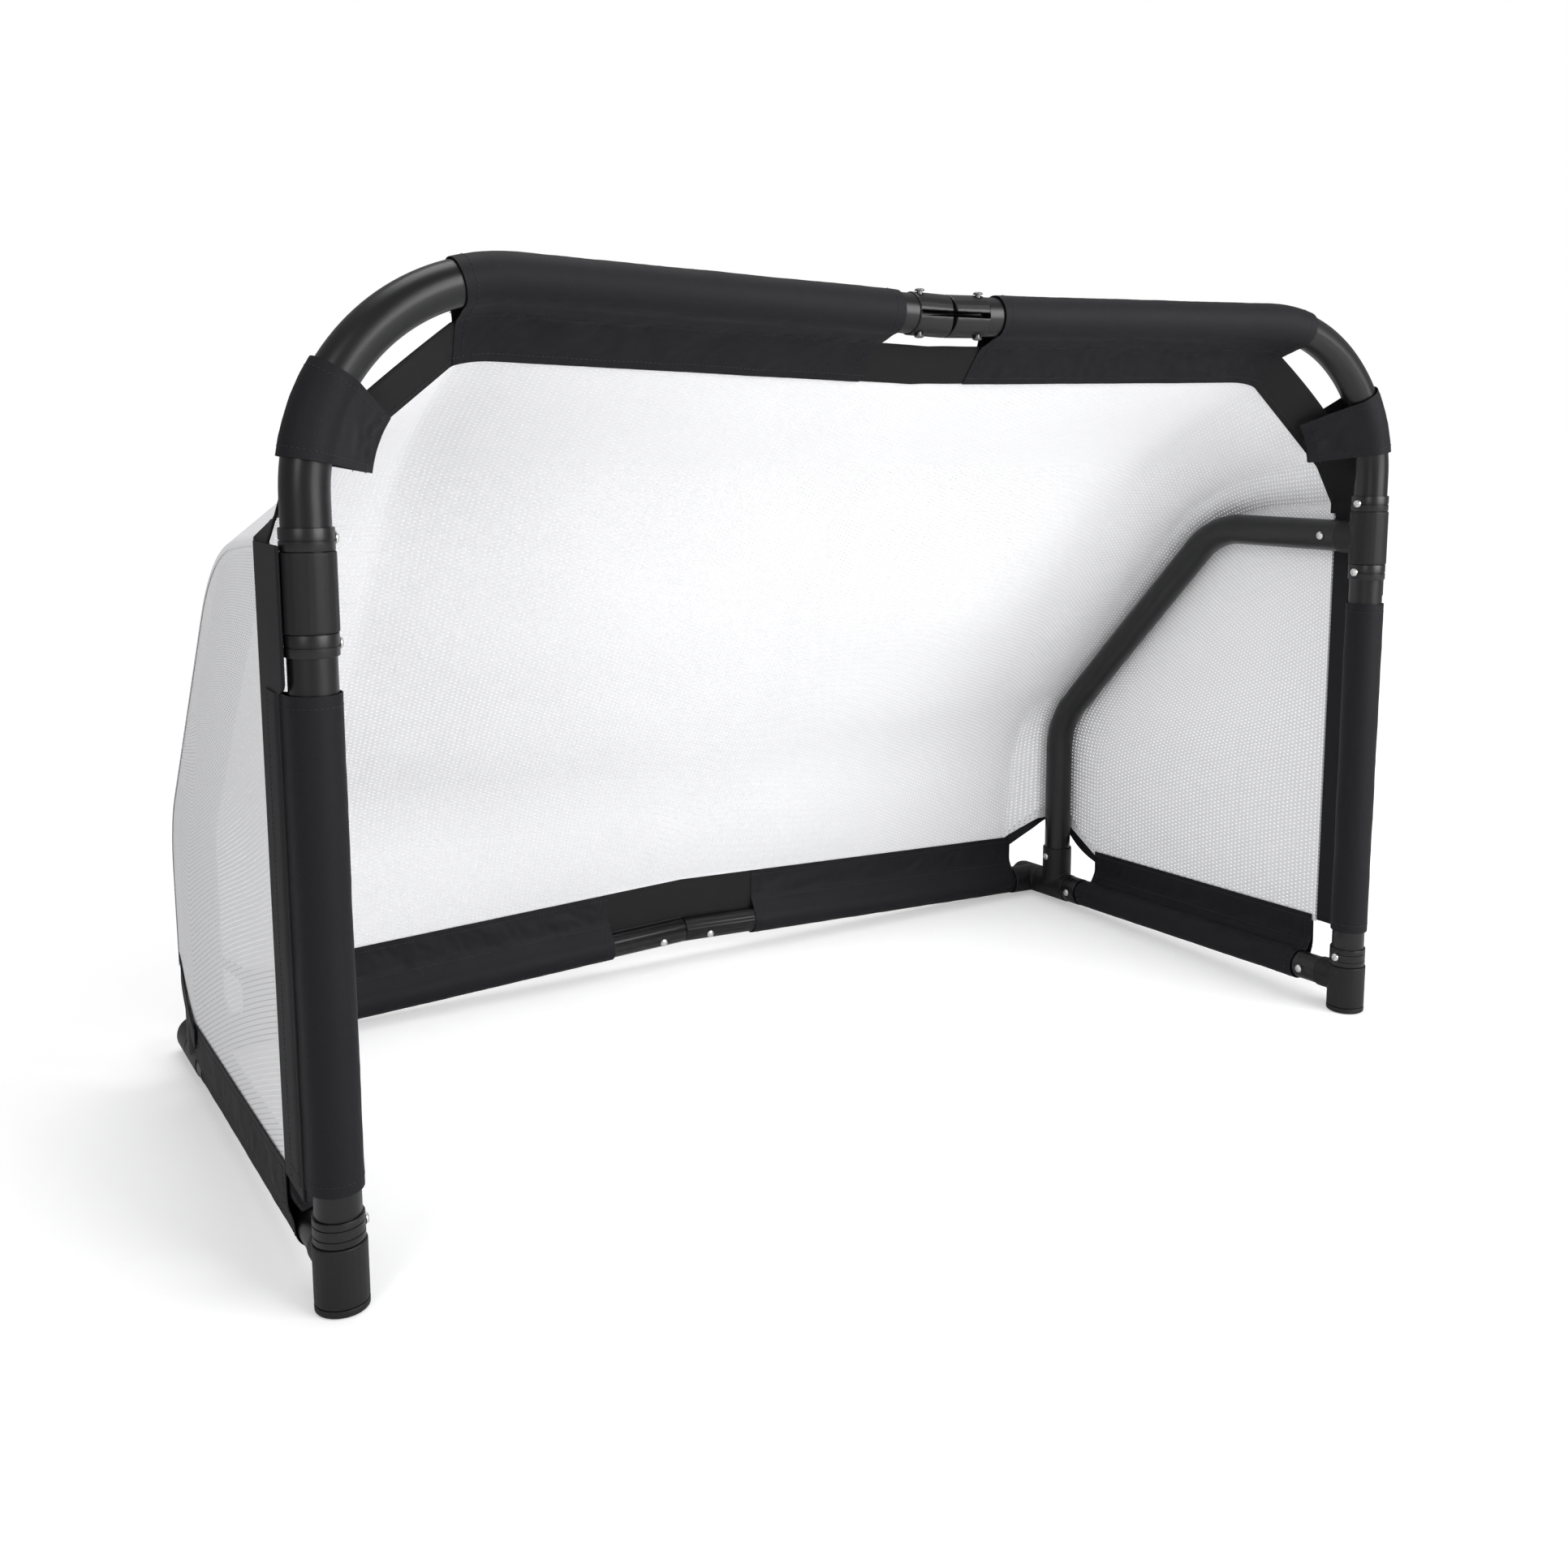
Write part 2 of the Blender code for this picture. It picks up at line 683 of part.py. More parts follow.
def make_strut(side, label, materials, parent):
    corners = [
        (0, STRUT_BRANCH_REACH + SEAT_GAP, MIDDLE_TEE_HEIGHT),
        (0, STRUT_UPPER_CORNER, MIDDLE_TEE_HEIGHT),
        (0, STRUT_REACH, STRUT_LOWER_CORNER),
        (0, STRUT_REACH, STRUT_FOOT),
    ]
    path = rounded_path(corners, [STRUT_BEND_RADIUS, STRUT_BEND_RADIUS], STRUT_BEND_STEPS)
    strut = tube(label + "_strut", path, TUBE_RADIUS, materials["tube"], parent, across=(1, 0, 0))
    centre = (0, STRUT_SCREW_REACH, MIDDLE_TEE_HEIGHT)
    return pierce(strut, label + "_strut_screw", centre, side, TUBE_RADIUS, materials, parent)


def pierce(obj, name, centre, side, radius, materials, parent):
    """Cuts a screw hole in the inner side of a tube and adds the screw."""
    centre = Vector(centre)
    inward = Vector((-side, 0, 0))
    hole = rod(
        name + "_hole",
        centre + inward * (radius - 2 * TUBE_WALL),
        centre + inward * CUTTER_REACH / 2,
        SCREW_RADIUS + SEAT_GAP,
        parent=parent,
        sides=12,
    )
    cut(obj, hole)
    return make_screw(name, centre, inward, radius - TUBE_WALL, radius, materials, parent)


def make_side_bar(side, label, materials, parent):
    """The floor tube of a side frame. Its rear end is the axle of the rear tee."""
    end = REAR_TEE_END - AXLE_END_GAP
    path = [line_point(BASE_BRANCH_REACH + SEAT_GAP), line_point(end)]
    bar = tube(label + "_side_bar", path, FLOOR_TUBE_RADIUS, materials["tube"], parent, across=(1, 0, 0))
    centre = line_point(SIDE_SCREW_REACH)
    pierce(bar, label + "_side_bar_screw", centre, side, FLOOR_TUBE_RADIUS, materials, parent)


def make_socket_tee(label, materials, parent):
    """The fitting on the side bar that holds the strut's foot."""
    low, high = line_point(SOCKET_PLACE - SOCKET_TEE_HALF), line_point(SOCKET_PLACE + SOCKET_TEE_HALF)
    tee = rod(label + "_socket_tee", low, high, SOCKET_TEE_RADIUS, materials["fitting"], parent)
    axis = line_point(SOCKET_PLACE)
    root = axis.z + SOCKET_ROOT
    socket = rod(label + "_socket", (0, axis.y, root), (0, axis.y, SOCKET_TOP), SOCKET_RADIUS, parent=parent)
    join(tee, socket)
    seat = rod(
        label + "_socket_seat",
        (0, axis.y, SOCKET_FLOOR),
        (0, axis.y, SOCKET_TOP + CUTTER_REACH),
        TUBE_RADIUS + RUNNING_GAP,
        parent=parent,
        sides=20,
    )
    cut(tee, seat)
    bore = rod(
        label + "_socket_tee_bore",
        line_point(SOCKET_PLACE - CUTTER_REACH),
        line_point(SOCKET_PLACE + CUTTER_REACH),
        FLOOR_TUBE_RADIUS + RUNNING_GAP,
        parent=parent,
    )
    return cut(tee, bore)


def make_rear_collar(label, materials, parent):
    profile = pipe_profile(
        REAR_COLLAR_RADIUS,
        FLOOR_TUBE_RADIUS + RUNNING_GAP,
        REAR_COLLAR_END - REAR_COLLAR_LENGTH,
        REAR_COLLAR_END,
        COLLAR_CHAMFER,
    )
    direction = line_point(1) - line_point(0)
    return turned(label + "_rear_collar", line_point(0), direction, profile, materials["collar"], parent)


# The rear bar: a tee that swivels on the side bar, and half of the rear tube


def make_rear_half(side, label, materials, parent):
    """Built in the frame of its swivel: X along the bar, Y along the side bar."""
    bore = FLOOR_TUBE_RADIUS + RUNNING_GAP
    low = -REAR_BAR_REACH + SOCKET_PLACE + SOCKET_TEE_HALF + RUNNING_GAP
    floor = REAR_TEE_HALF - AXLE_END_GAP + SEAT_GAP
    dome = REAR_TEE_DOME
    profile = [
        (0, low),
        (REAR_TEE_RADIUS, low),
        (REAR_TEE_RADIUS, REAR_TEE_HALF),
        (REAR_TEE_RADIUS * 0.93, REAR_TEE_HALF + dome * 0.45),
        (REAR_TEE_RADIUS * 0.70, REAR_TEE_HALF + dome * 0.85),
        (0, REAR_TEE_HALF + dome),
    ]
    tee = turned(label + "_rear_tee", (0, 0, 0), (0, 1, 0), profile, materials["fitting"], parent)
    end = (-side * REAR_BRANCH_REACH, 0, 0)
    join(tee, rod(label + "_rear_tee_branch", (0, 0, 0), end, REAR_BRANCH_RADIUS, parent=parent))
    axle_bore = rod(label + "_rear_tee_bore", (0, low - CUTTER_REACH, 0), (0, floor, 0), bore, parent=parent)
    cut(tee, axle_bore)
    bar_seat = rod(
        label + "_rear_tee_seat",
        (-side * (REAR_TUBE_START - SEAT_GAP), 0, 0),
        (-side * (REAR_BRANCH_REACH + CUTTER_REACH), 0, 0),
        bore,
        parent=parent,
    )
    cut(tee, bar_seat)
    path = [Vector((-side * REAR_TUBE_START, 0, 0)), Vector((-side * (BAR_HALF + 0.004), 0, 0))]
    bar = tube(label + "_rear_bar", path, FLOOR_TUBE_RADIUS, materials["tube"], parent)
    outline = knuckle_outline(side, BAR_HALF)
    wide = CUTTER_REACH
    combine(bar, prism(label + "_rear_bar_end_shape", outline, "Y", -wide, wide, parent), "INTERSECT")
    low_x, high_x, top = slot_limits(side)
    room = LINK_THICKNESS / 2 + SEAT_GAP
    cut(bar, box(label + "_rear_bar_slot", (low_x, -room, -wide), (high_x, room, top), parent))
    pin = (-side * PIN_REACH, -HINGE_PIN_OFFSET)
    hole = rod(
        label + "_rear_bar_pin_hole",
        (pin[0], -wide, pin[1]),
        (pin[0], wide, pin[1]),
        PIN_RADIUS + SEAT_GAP,
        parent=parent,
        sides=16,
    )
    cut(bar, hole)


# Hinge links and pins


def make_link(name, axis, material, parent):
    """The flat plate between the two pins, in the link's own frame."""
    outline = []
    for end in (1, -1):
        for k in range(7):
            angle = math.radians(-90 + 30 * k) + (0 if end > 0 else math.pi)
            x = end * HINGE_PIN_TO_SEAM + LINK_HALF_WIDTH * math.cos(angle)
            outline.append((x, LINK_HALF_WIDTH * math.sin(angle)))
    half = LINK_THICKNESS / 2
    plate = prism(name, outline, axis, -half, half, parent, material)
    direction = Vector((0, 0, 1)) if axis == "Z" else Vector((0, 1, 0))
    for end in (1, -1):
        centre = Vector((end * HINGE_PIN_TO_SEAM, 0, 0))
        hole = rod(
            f"{name}_hole_{'right' if end > 0 else 'left'}",
            centre - direction * CUTTER_REACH,
            centre + direction * CUTTER_REACH,
            PIN_RADIUS + SEAT_GAP,
            parent=parent,
            sides=16,
        )
        cut(plate, hole)
    return plate


def make_pin(name, end, direction, reach, material, parent):
    """A headed rivet through one knuckle. Reach is the knuckle's radius."""
    direction = Vector(direction)
    seat = reach + SEAT_GAP
    top = seat + PIN_HEAD_HEIGHT
    edge = PIN_HEAD_RADIUS * 0.7
    profile = [
        (0, -top),
        (edge, -top),
        (PIN_HEAD_RADIUS, -seat - PIN_HEAD_HEIGHT * 0.4),
        (PIN_HEAD_RADIUS, -seat),
        (PIN_RADIUS, -seat),
        (PIN_RADIUS, seat),
        (PIN_HEAD_RADIUS, seat),
        (PIN_HEAD_RADIUS, seat + PIN_HEAD_HEIGHT * 0.4),
        (edge, top),
        (0, top),
    ]
    start = Vector((end * HINGE_PIN_TO_SEAM, 0, 0))
    return turned(name, start, direction, profile, material, parent, sides=12)


# Fabric


def sleeve_path(side):
    path = bend_points(side, CROSSBAR_SLEEVE_STEPS, ARCH_BEND_STEPS)
    return [*path, bar_point(side, BAR_HALF - CROSSBAR_SLEEVE_END)]


def make_crossbar_sleeve(side, label, materials, parent):
    """A sleeve on half of the crossbar, with a flap that runs down to the net."""
    path = sleeve_path(side)
    inner = TUBE_RADIUS + FABRIC_GAP
    outer = inner + FABRIC_THICKNESS
    ring = sweep(
        label + "_crossbar_sleeve",
        path,
        circle(outer, FABRIC_SIDES),
        circle(inner, FABRIC_SIDES),
        materials["fabric"],
        parent,
    )
    start = inner + FABRIC_THICKNESS / 2
    flap = strip(start, CROSSBAR_FLAP_LENGTH, CROSSBAR_FLAP_ANGLE * -path_side(side), FLAP_THICKNESS)
    return join(ring, sweep(label + "_crossbar_flap", path, flap, None, None, parent))


def path_side(side):
    """The normal of a path that runs inwards points up on one side and down on the other."""
    return 1 if Vector((0, 1, 0)).cross(Vector((-side, 0, 0))).z > 0 else -1


def make_corner_patch(side, label, materials, parent):
    """The short wrap round the arch's bend that holds the net's corner."""
    path = bend_points(side, PATCH_START_STEPS, PATCH_END_STEPS)
    inner = TUBE_RADIUS + FABRIC_GAP
    ring = sweep(
        label + "_corner_patch",
        path,
        circle(inner + HEAVY_FABRIC_THICKNESS, FABRIC_SIDES),
        circle(inner, FABRIC_SIDES),
        materials["fabric"],
        parent,
    )
    angle = PATCH_FLAP_ANGLE
    middle = inner + HEAVY_FABRIC_THICKNESS / 2
    flap = strip(middle, PATCH_FLAP_LENGTH, angle * -path_side(side), FLAP_THICKNESS)
    return join(ring, sweep(label + "_corner_patch_flap", path, flap, None, None, parent))


def make_post_sleeve(side, label, materials, parent):
    """The sleeve on the post and the band beside it, which stay with the side net."""
    inner = TUBE_RADIUS + FABRIC_GAP
    profile = pipe_profile(inner + HEAVY_FABRIC_THICKNESS, inner, POST_SLEEVE_BOTTOM, POST_SLEEVE_TOP)
    sleeve = turned(label + "_post_sleeve", (0, 0, 0), (0, 0, 1), profile, materials["fabric"], parent)
    half = FLAP_THICKNESS / 2
    low, high = sorted((side * (NET_OFFSET - half), side * (NET_OFFSET + half)))
    outline = [
        (-BAND_ROOT, POST_BAND_BOTTOM),
        (POST_BAND_REACH, POST_BAND_BOTTOM),
        (POST_BAND_REACH, POST_BAND_TOP),
        (POST_BAND_FREE_START, POST_BAND_TOP),
        (POST_BAND_FREE_START, POST_SLEEVE_TOP - BAND_ROOT),
        (-BAND_ROOT, POST_SLEEVE_TOP - BAND_ROOT),
    ]
    bm = bmesh.new()
    near = [bm.verts.new((low, y, z)) for y, z in outline]
    far = [bm.verts.new((high, y, z)) for y, z in outline]
    bm.faces.new(near)
    bm.faces.new(far)
    skin(bm, [near, far])
    band = add_object(label + "_post_band", bm, None, parent, smooth_angle=1.0)
    return join(sleeve, band)


def make_side_sleeve(side, label, materials, parent):
    """The sleeve on the side bar, with a flap that stands up to the side net."""
    inner = FLOOR_TUBE_RADIUS + FABRIC_GAP
    outer = inner + HEAVY_FABRIC_THICKNESS
    path = [line_point(SIDE_SLEEVE_START), line_point(SIDE_SLEEVE_END)]
    sleeve = sweep(
        label + "_side_sleeve",
        path,
        circle(outer, FABRIC_SIDES),
        circle(inner, FABRIC_SIDES),
        materials["fabric"],
        parent,
        across=(1, 0, 0),
    )
    middle = NET_OFFSET - NET_THICKNESS / 2 - SEAT_GAP - FLAP_THICKNESS / 2
    low, high = sorted((side * (middle - FLAP_THICKNESS / 2), side * (middle + FLAP_THICKNESS / 2)))
    up = side_path_up()
    loop = [(low, 0), (high, 0), (high, up * SIDE_FLAP_HEIGHT), (low, up * SIDE_FLAP_HEIGHT)]
    flap = sweep(label + "_side_flap", path, loop, None, None, parent, across=(1, 0, 0))
    return join(sleeve, flap)


def side_path_up():
    """Whether a rearward path's own normal points up."""
    return 1 if Vector((1, 0, 0)).cross(Vector((0, 1, 0))).z > 0 else -1


def make_rear_sleeve(side, label, materials, parent):
    """The sleeve on half of the rear bar, with a flap that stands up to the back net."""
    inner = FLOOR_TUBE_RADIUS + FABRIC_GAP
    outer = inner + FABRIC_THICKNESS
    start, end = REAR_SLEEVE_START, BAR_HALF - REAR_SLEEVE_END
    path = [Vector((-side * start, 0, 0)), Vector((-side * end, 0, 0))]
    ring = sweep(
        label + "_rear_sleeve",
        path,
        circle(outer, FABRIC_SIDES),
        circle(inner, FABRIC_SIDES),
        materials["fabric"],
        parent,
    )
    low, high = sorted((-side * start, -side * end))
    half = FLAP_THICKNESS / 2
    flap = box(
        label + "_rear_flap",
        (low, -half, inner + FABRIC_THICKNESS / 2),
        (high, half, REAR_FLAP_HEIGHT),
        parent,
    )
    return join(ring, flap)


def make_top_band(materials, parent):
    """The strip between the two crossbar flaps, in the frame of the crossbar's middle."""
    half = CROSSBAR_SLEEVE_END - BAND_END_GAP
    end = Vector((half, -half * math.sin(REST_BOW), half * math.tan(CROSSBAR_SAG)))
    path = [Vector((-end.x, end.y, end.z)), Vector((0, 0, 0)), end]
    loop = strip(BAND_START, CROSSBAR_FLAP_LENGTH, CROSSBAR_FLAP_ANGLE * -path_side(-1), FLAP_THICKNESS)
    return sweep("top_band", path, loop, None, materials["band"], parent)


def make_rear_band(materials, parent):
    half = REAR_SLEEVE_END - BAND_END_GAP
    drop = half * math.sin(REST_BOW)
    path = [Vector((-half, 0, -drop)), Vector((0, 0, 0)), Vector((half, 0, -drop))]
    loop = strip(REAR_BAND_START, REAR_FLAP_HEIGHT, math.pi / 2 * path_side(-1), FLAP_THICKNESS)
    return sweep("rear_band", path, loop, None, materials["band"], parent)


# Net


def strut_profile(inset=0.0):
    """The net's line over a strut, from the corner of the mouth to the rear corner, as
    (distance to the rear, height) on a smooth path in the side frame's own frame."""
    offset = TUBE_RADIUS + NET_STRUT_GAP - inset
    slant = Vector((STRUT_REACH - STRUT_UPPER_CORNER, STRUT_LOWER_CORNER - MIDDLE_TEE_HEIGHT)).normalized()
    out = Vector((-slant.y, slant.x))
    on_slant = Vector((STRUT_UPPER_CORNER, MIDDLE_TEE_HEIGHT)) + out * offset
    rise = MIDDLE_TEE_HEIGHT + offset - on_slant.y
    upper = on_slant + slant * (rise / slant.y)
    run = STRUT_REACH + offset - on_slant.x
    lower = on_slant + slant * (run / slant.x)
    corners = [
        (0, *net_start(inset)),
        (0, upper.x, upper.y),
        (0, lower.x, lower.y),
        (0, STRUT_REACH + offset, NET_CORNER_HEIGHT),
    ]
    radii = [NET_UPPER_ROUNDING, STRUT_BEND_RADIUS + offset]
    return rounded_path(corners, radii, 12)


def net_start(inset=0.0):
    """Where the back net meets the top corner of a post's band."""
    return POST_BAND_REACH + 2 * NET_THICKNESS, POST_BAND_TOP + NET_THICKNESS - inset


def along_path(path, share):
    """The point at a share of a path's length."""
    lengths = [(b - a).length for a, b in zip(path, path[1:])]
    left = share * sum(lengths)
    for start, end, length in zip(path, path[1:], lengths):
        if left <= length:
            return start.lerp(end, left / length)
        left -= length
    return path[-1].copy()


def between(value, stops):
    """Linear interpolation in a list of (value, point) stops."""
    for (low, first), (high, second) in zip(stops, stops[1:]):
        if value <= high:
            share = max(0.0, (value - low) / (high - low))
            return Vector(first).lerp(Vector(second), share)
    return Vector(stops[-1][1])


def net_edges():
    """The top and bottom edges of the back net, as (inward, (rear, height)) stops."""
    outer = -NET_OFFSET
    inner = TUBE_RADIUS + NET_STRUT_GAP + NET_THICKNESS
    hem = CROSSBAR_FLAP_LENGTH + HEM_GAP
    back = hem * math.cos(CROSSBAR_FLAP_ANGLE)
    down = hem * math.sin(CROSSBAR_FLAP_ANGLE)
    yaw = Matrix.Rotation(REST_BOW, 3, "Z")
    top = [
        (outer, net_start()),
        (inner, (POST_BAND_REACH - NET_CORNER_TUCK, POST_BAND_TOP + NET_CORNER_RISE)),
    ]
    for point, across, normal in frames(sleeve_path(-1), (0, 1, 0)):
        edge = yaw @ (point + back * across + down * normal)
        top.append((edge.x, (edge.y, edge.z)))
    bow = BAR_HALF * math.sin(REST_BOW)
    drop = BAR_HALF * math.tan(CROSSBAR_SAG)
    top.append((HALF_WIDTH, (back + bow, CROSSBAR_HEIGHT - drop - down)))
    axis = line_point(REAR_BAR_REACH)
    flap = REAR_FLAP_HEIGHT + NET_THICKNESS / 2 + SEAT_GAP
    flap_top = Vector((axis.y + flap * math.sin(SIDE_BAR_SLOPE), axis.z + flap))
    flap_start = REAR_SLEEVE_START + NET_CORNER_RUN
    rear = STRUT_REACH + TUBE_RADIUS + NET_STRUT_GAP
    bottom = [
        (outer, (rear, NET_CORNER_HEIGHT)),
        (inner, (rear, NET_CORNER_HEIGHT)),
        (flap_start, flap_top + Vector((0, flap_start * math.sin(REST_BOW)))),
        (HALF_WIDTH, flap_top + Vector((0, bow))),
    ]
    return top, bottom


def back_net_point(side, inward, share, profile, edges):
    """A point of the back net: the straight line from its top edge to its bottom edge,
    pushed out by the strut and less so towards the middle."""
    top, bottom = edges
    first, last = between(inward, top), between(inward, bottom)
    chord = first.lerp(last, share)
    side_chord = between(-NET_OFFSET, top).lerp(between(-NET_OFFSET, bottom), share)
    at_strut = along_path(profile, share)
    bulge = Vector((at_strut.y, at_strut.z)) - side_chord
    inner = TUBE_RADIUS + NET_STRUT_GAP + NET_THICKNESS
    clear = max(0.0, (inward - inner) / (HALF_WIDTH - inner))
    fall = math.cosh(NET_BULGE_DECAY * (1 - clear)) - 1
    fade = NET_BULGE_AT_MIDDLE + (1 - NET_BULGE_AT_MIDDLE) * fall / (math.cosh(NET_BULGE_DECAY) - 1)
    point = chord + bulge * fade
    return Vector((-side * inward, point.x, point.y))


def lattice(name, rows, material, parent):
    """A net panel: each cell of the grid keeps a frame of strands round its gap."""
    bm = bmesh.new()
    verts = [[bm.verts.new(p) for p in row] for row in rows]
    cells = []
    for low, high in zip(verts, verts[1:]):
        for k in range(len(low) - 1):
            cells.append(bm.faces.new((low[k], low[k + 1], high[k + 1], high[k])))
    bm.normal_update()
    bmesh.ops.inset_individual(bm, faces=cells, thickness=NET_STRAND_WIDTH / 2, use_even_offset=True)
    bmesh.ops.delete(bm, geom=cells, context="FACES")
    panel = add_object(name, bm, material, parent)
    thicken = panel.modifiers.new("Thickness", "SOLIDIFY")
    thicken.thickness = NET_THICKNESS
    thicken.offset = 0.0
    return panel


def make_back_net(side, label, materials, parent):
    profile, edges = strut_profile(), net_edges()
    inner = TUBE_RADIUS + NET_STRUT_GAP + NET_THICKNESS
    middle = HALF_WIDTH - SEAT_GAP / 2
    columns = [-NET_OFFSET, inner]
    for k in range(1, BACK_NET_COLUMNS):
        columns.append(inner + (middle - inner) * k / (BACK_NET_COLUMNS - 1))
    rows = []
    for n in range(NET_ROWS + 1):
        share = n / NET_ROWS
        rows.append([back_net_point(side, inward, share, profile, edges) for inward in columns])
    return lattice(label + "_back_net", rows, materials["net"], parent)


def make_side_net(side, label, materials, parent):
    """The flat panel between post, strut and side bar, on the outer side of the strut."""
    profile = strut_profile(NET_THICKNESS / 2 + 3 * SEAT_GAP)
    front = POST_BAND_REACH + SEAT_GAP
    height = POST_BAND_TOP - POST_BAND_BOTTOM
    rows = []
    for n in range(1, NET_ROWS + 1):
        share = (n - 1) / (NET_ROWS - 1)
        near = Vector((front, POST_BAND_TOP - height * share))
        far = along_path(profile, n / NET_ROWS)
        far = Vector((far.y, far.z))
        row = []
        for k in range(SIDE_NET_COLUMNS + 1):
            point = near.lerp(far, k / SIDE_NET_COLUMNS)
            lift = share**4 * (side_hem_height(point.x) - point.y) if 0 < k < SIDE_NET_COLUMNS else 0.0
            row.append(Vector((side * NET_OFFSET, point.x, point.y + lift)))
        rows.append(row)
    return lattice(label + "_side_net", rows, materials["net"], parent)


def side_hem_height(rear):
    """The height at which the side net's lower edge laps the side bar's flap."""
    along = rear / math.cos(SIDE_BAR_SLOPE)
    return line_point(min(along, SIDE_SLEEVE_END)).z + SIDE_FLAP_HEIGHT - NET_LAP


# Assembly


def make_side(side, label, materials, root):
    frame = add_empty(label + "_side_frame", (side * HALF_WIDTH, 0, 0), parent=root)
    make_middle_tee(label, materials, frame)
    make_base_tee(label, materials, frame)
    make_foot_cap(label, materials, frame)
    make_strut(side, label, materials, frame)
    make_side_bar(side, label, materials, frame)
    make_socket_tee(label, materials, frame)
    make_rear_collar(label, materials, frame)
    make_post_sleeve(side, label, materials, frame)
    make_side_sleeve(side, label, materials, frame)
    make_side_net(side, label, materials, frame)
    make_back_net(side, label, materials, frame)

    yaw = Matrix.Rotation(-side * REST_BOW, 3, "Z")
    arch = add_empty(label + "_arch_swivel", (side * HALF_WIDTH, 0, 0), yaw, root)
    make_arch(side, label, materials, arch)
    make_crossbar_sleeve(side, label, materials, arch)
    make_corner_patch(side, label, materials, arch)

    slope = Matrix.Rotation(-SIDE_BAR_SLOPE, 3, "X")
    line = add_empty(label + "_side_bar_line", line_point(0), slope, frame)
    lift = Matrix.Rotation(side * REST_BOW, 3, "Y")
    swivel = add_empty(label + "_rear_swivel", (0, REAR_BAR_REACH, 0), lift, line)
    make_rear_half(side, label, materials, swivel)
    make_rear_sleeve(side, label, materials, swivel)


def make_crossbar_link(materials, root):
    link = add_empty("crossbar_link_frame", (0, PIN_TRAVEL, PIN_HEIGHT), parent=root)
    make_link("crossbar_link", "Z", materials["plate"], link)
    for end, label in ((-1, "left"), (1, "right")):
        make_pin(f"crossbar_pin_{label}", end, (0, 0, 1), HINGE_RADIUS, materials["zinc"], link)
    height = CROSSBAR_HEIGHT - BAR_HALF * math.tan(CROSSBAR_SAG)
    middle = add_empty("crossbar_middle", (0, BAR_HALF * math.sin(REST_BOW), height), parent=root)
    make_top_band(materials, middle)


def make_rear_link(materials, root):
    slope = Matrix.Rotation(-SIDE_BAR_SLOPE, 3, "X")
    line = add_empty("rear_line", line_point(0), slope, root)
    link = add_empty("rear_link_frame", (0, REAR_BAR_REACH, PIN_TRAVEL), parent=line)
    make_link("rear_link", "Y", materials["plate"], link)
    for end, label in ((-1, "left"), (1, "right")):
        make_pin(f"rear_pin_{label}", end, (0, 1, 0), FLOOR_TUBE_RADIUS, materials["zinc"], link)
    middle = add_empty("rear_middle", (0, REAR_BAR_REACH, BAR_HALF * math.sin(REST_BOW)), parent=line)
    make_rear_band(materials, middle)


def main():
    clear_scene()
    materials = make_materials()
    root = add_empty("goal", (0, POST_Y, 0))
    for side, label in ((-1, "left"), (1, "right")):
        make_side(side, label, materials, root)
    make_crossbar_link(materials, root)
    make_rear_link(materials, root)


main()
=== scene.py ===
import math

import bmesh
import bpy
import numpy as np
from mathutils import Matrix, Vector, noise


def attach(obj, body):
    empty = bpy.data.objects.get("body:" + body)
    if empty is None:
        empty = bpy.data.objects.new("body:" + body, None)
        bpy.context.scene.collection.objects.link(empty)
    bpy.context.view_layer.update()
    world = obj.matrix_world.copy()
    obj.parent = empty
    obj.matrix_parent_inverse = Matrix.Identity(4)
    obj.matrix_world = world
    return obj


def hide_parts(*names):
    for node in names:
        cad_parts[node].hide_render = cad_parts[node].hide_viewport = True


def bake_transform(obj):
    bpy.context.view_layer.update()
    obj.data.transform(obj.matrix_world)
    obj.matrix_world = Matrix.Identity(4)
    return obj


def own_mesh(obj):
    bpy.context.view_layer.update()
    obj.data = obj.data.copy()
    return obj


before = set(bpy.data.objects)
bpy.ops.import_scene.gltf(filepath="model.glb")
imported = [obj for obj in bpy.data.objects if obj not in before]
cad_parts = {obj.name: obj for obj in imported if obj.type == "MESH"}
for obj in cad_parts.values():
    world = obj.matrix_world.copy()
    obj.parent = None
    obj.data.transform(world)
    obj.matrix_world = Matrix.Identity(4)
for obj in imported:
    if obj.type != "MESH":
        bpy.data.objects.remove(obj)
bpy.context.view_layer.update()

# The frame's sizes in metres and radians, as the CAD model has them
goal = {
    "halfWidth": 0.582,
    "crossbarHeight": 0.787,
    "postY": -0.290374,
    "strutReach": 0.513,
    "bow": math.radians(2.1),
    "sag": math.radians(1.33),
    "tube": 0.018,
    "floorTube": 0.016,
    "wall": 0.0015,
    "bendRadius": 0.162,
    "middleTee": 0.553,
    "teeHalf": 0.0295,
    "sideBarHeight": 0.0365,
    "slope": 0.0289156,
    "socketPlace": 0.513215,
    "rearReach": 0.566,
    "pinToSeam": 0.033,
    "barHalf": 0.582112,
    "pinTravel": 0.013126,
    "pinHeight": 0.774251,
    "netOffset": 0.0209,
}
sides = ((-1, "left"), (1, "right"))


def sideMatrix(side):  # a side frame stands on the foot of its post
    return Matrix.Translation((side * goal["halfWidth"], goal["postY"], 0))


def archMatrix(side):
    return sideMatrix(side) @ Matrix.Rotation(-side * goal["bow"], 4, "Z")


def linePoint(along):  # on a side bar's axis, in its side frame
    height = goal["sideBarHeight"] - along * math.sin(goal["slope"])
    return Vector((0, along * math.cos(goal["slope"]), height))


def alongSlope(matrix):
    return matrix @ Matrix.Translation(linePoint(0)) @ Matrix.Rotation(-goal["slope"], 4, "X")


def lineMatrix(side):
    return alongSlope(sideMatrix(side))


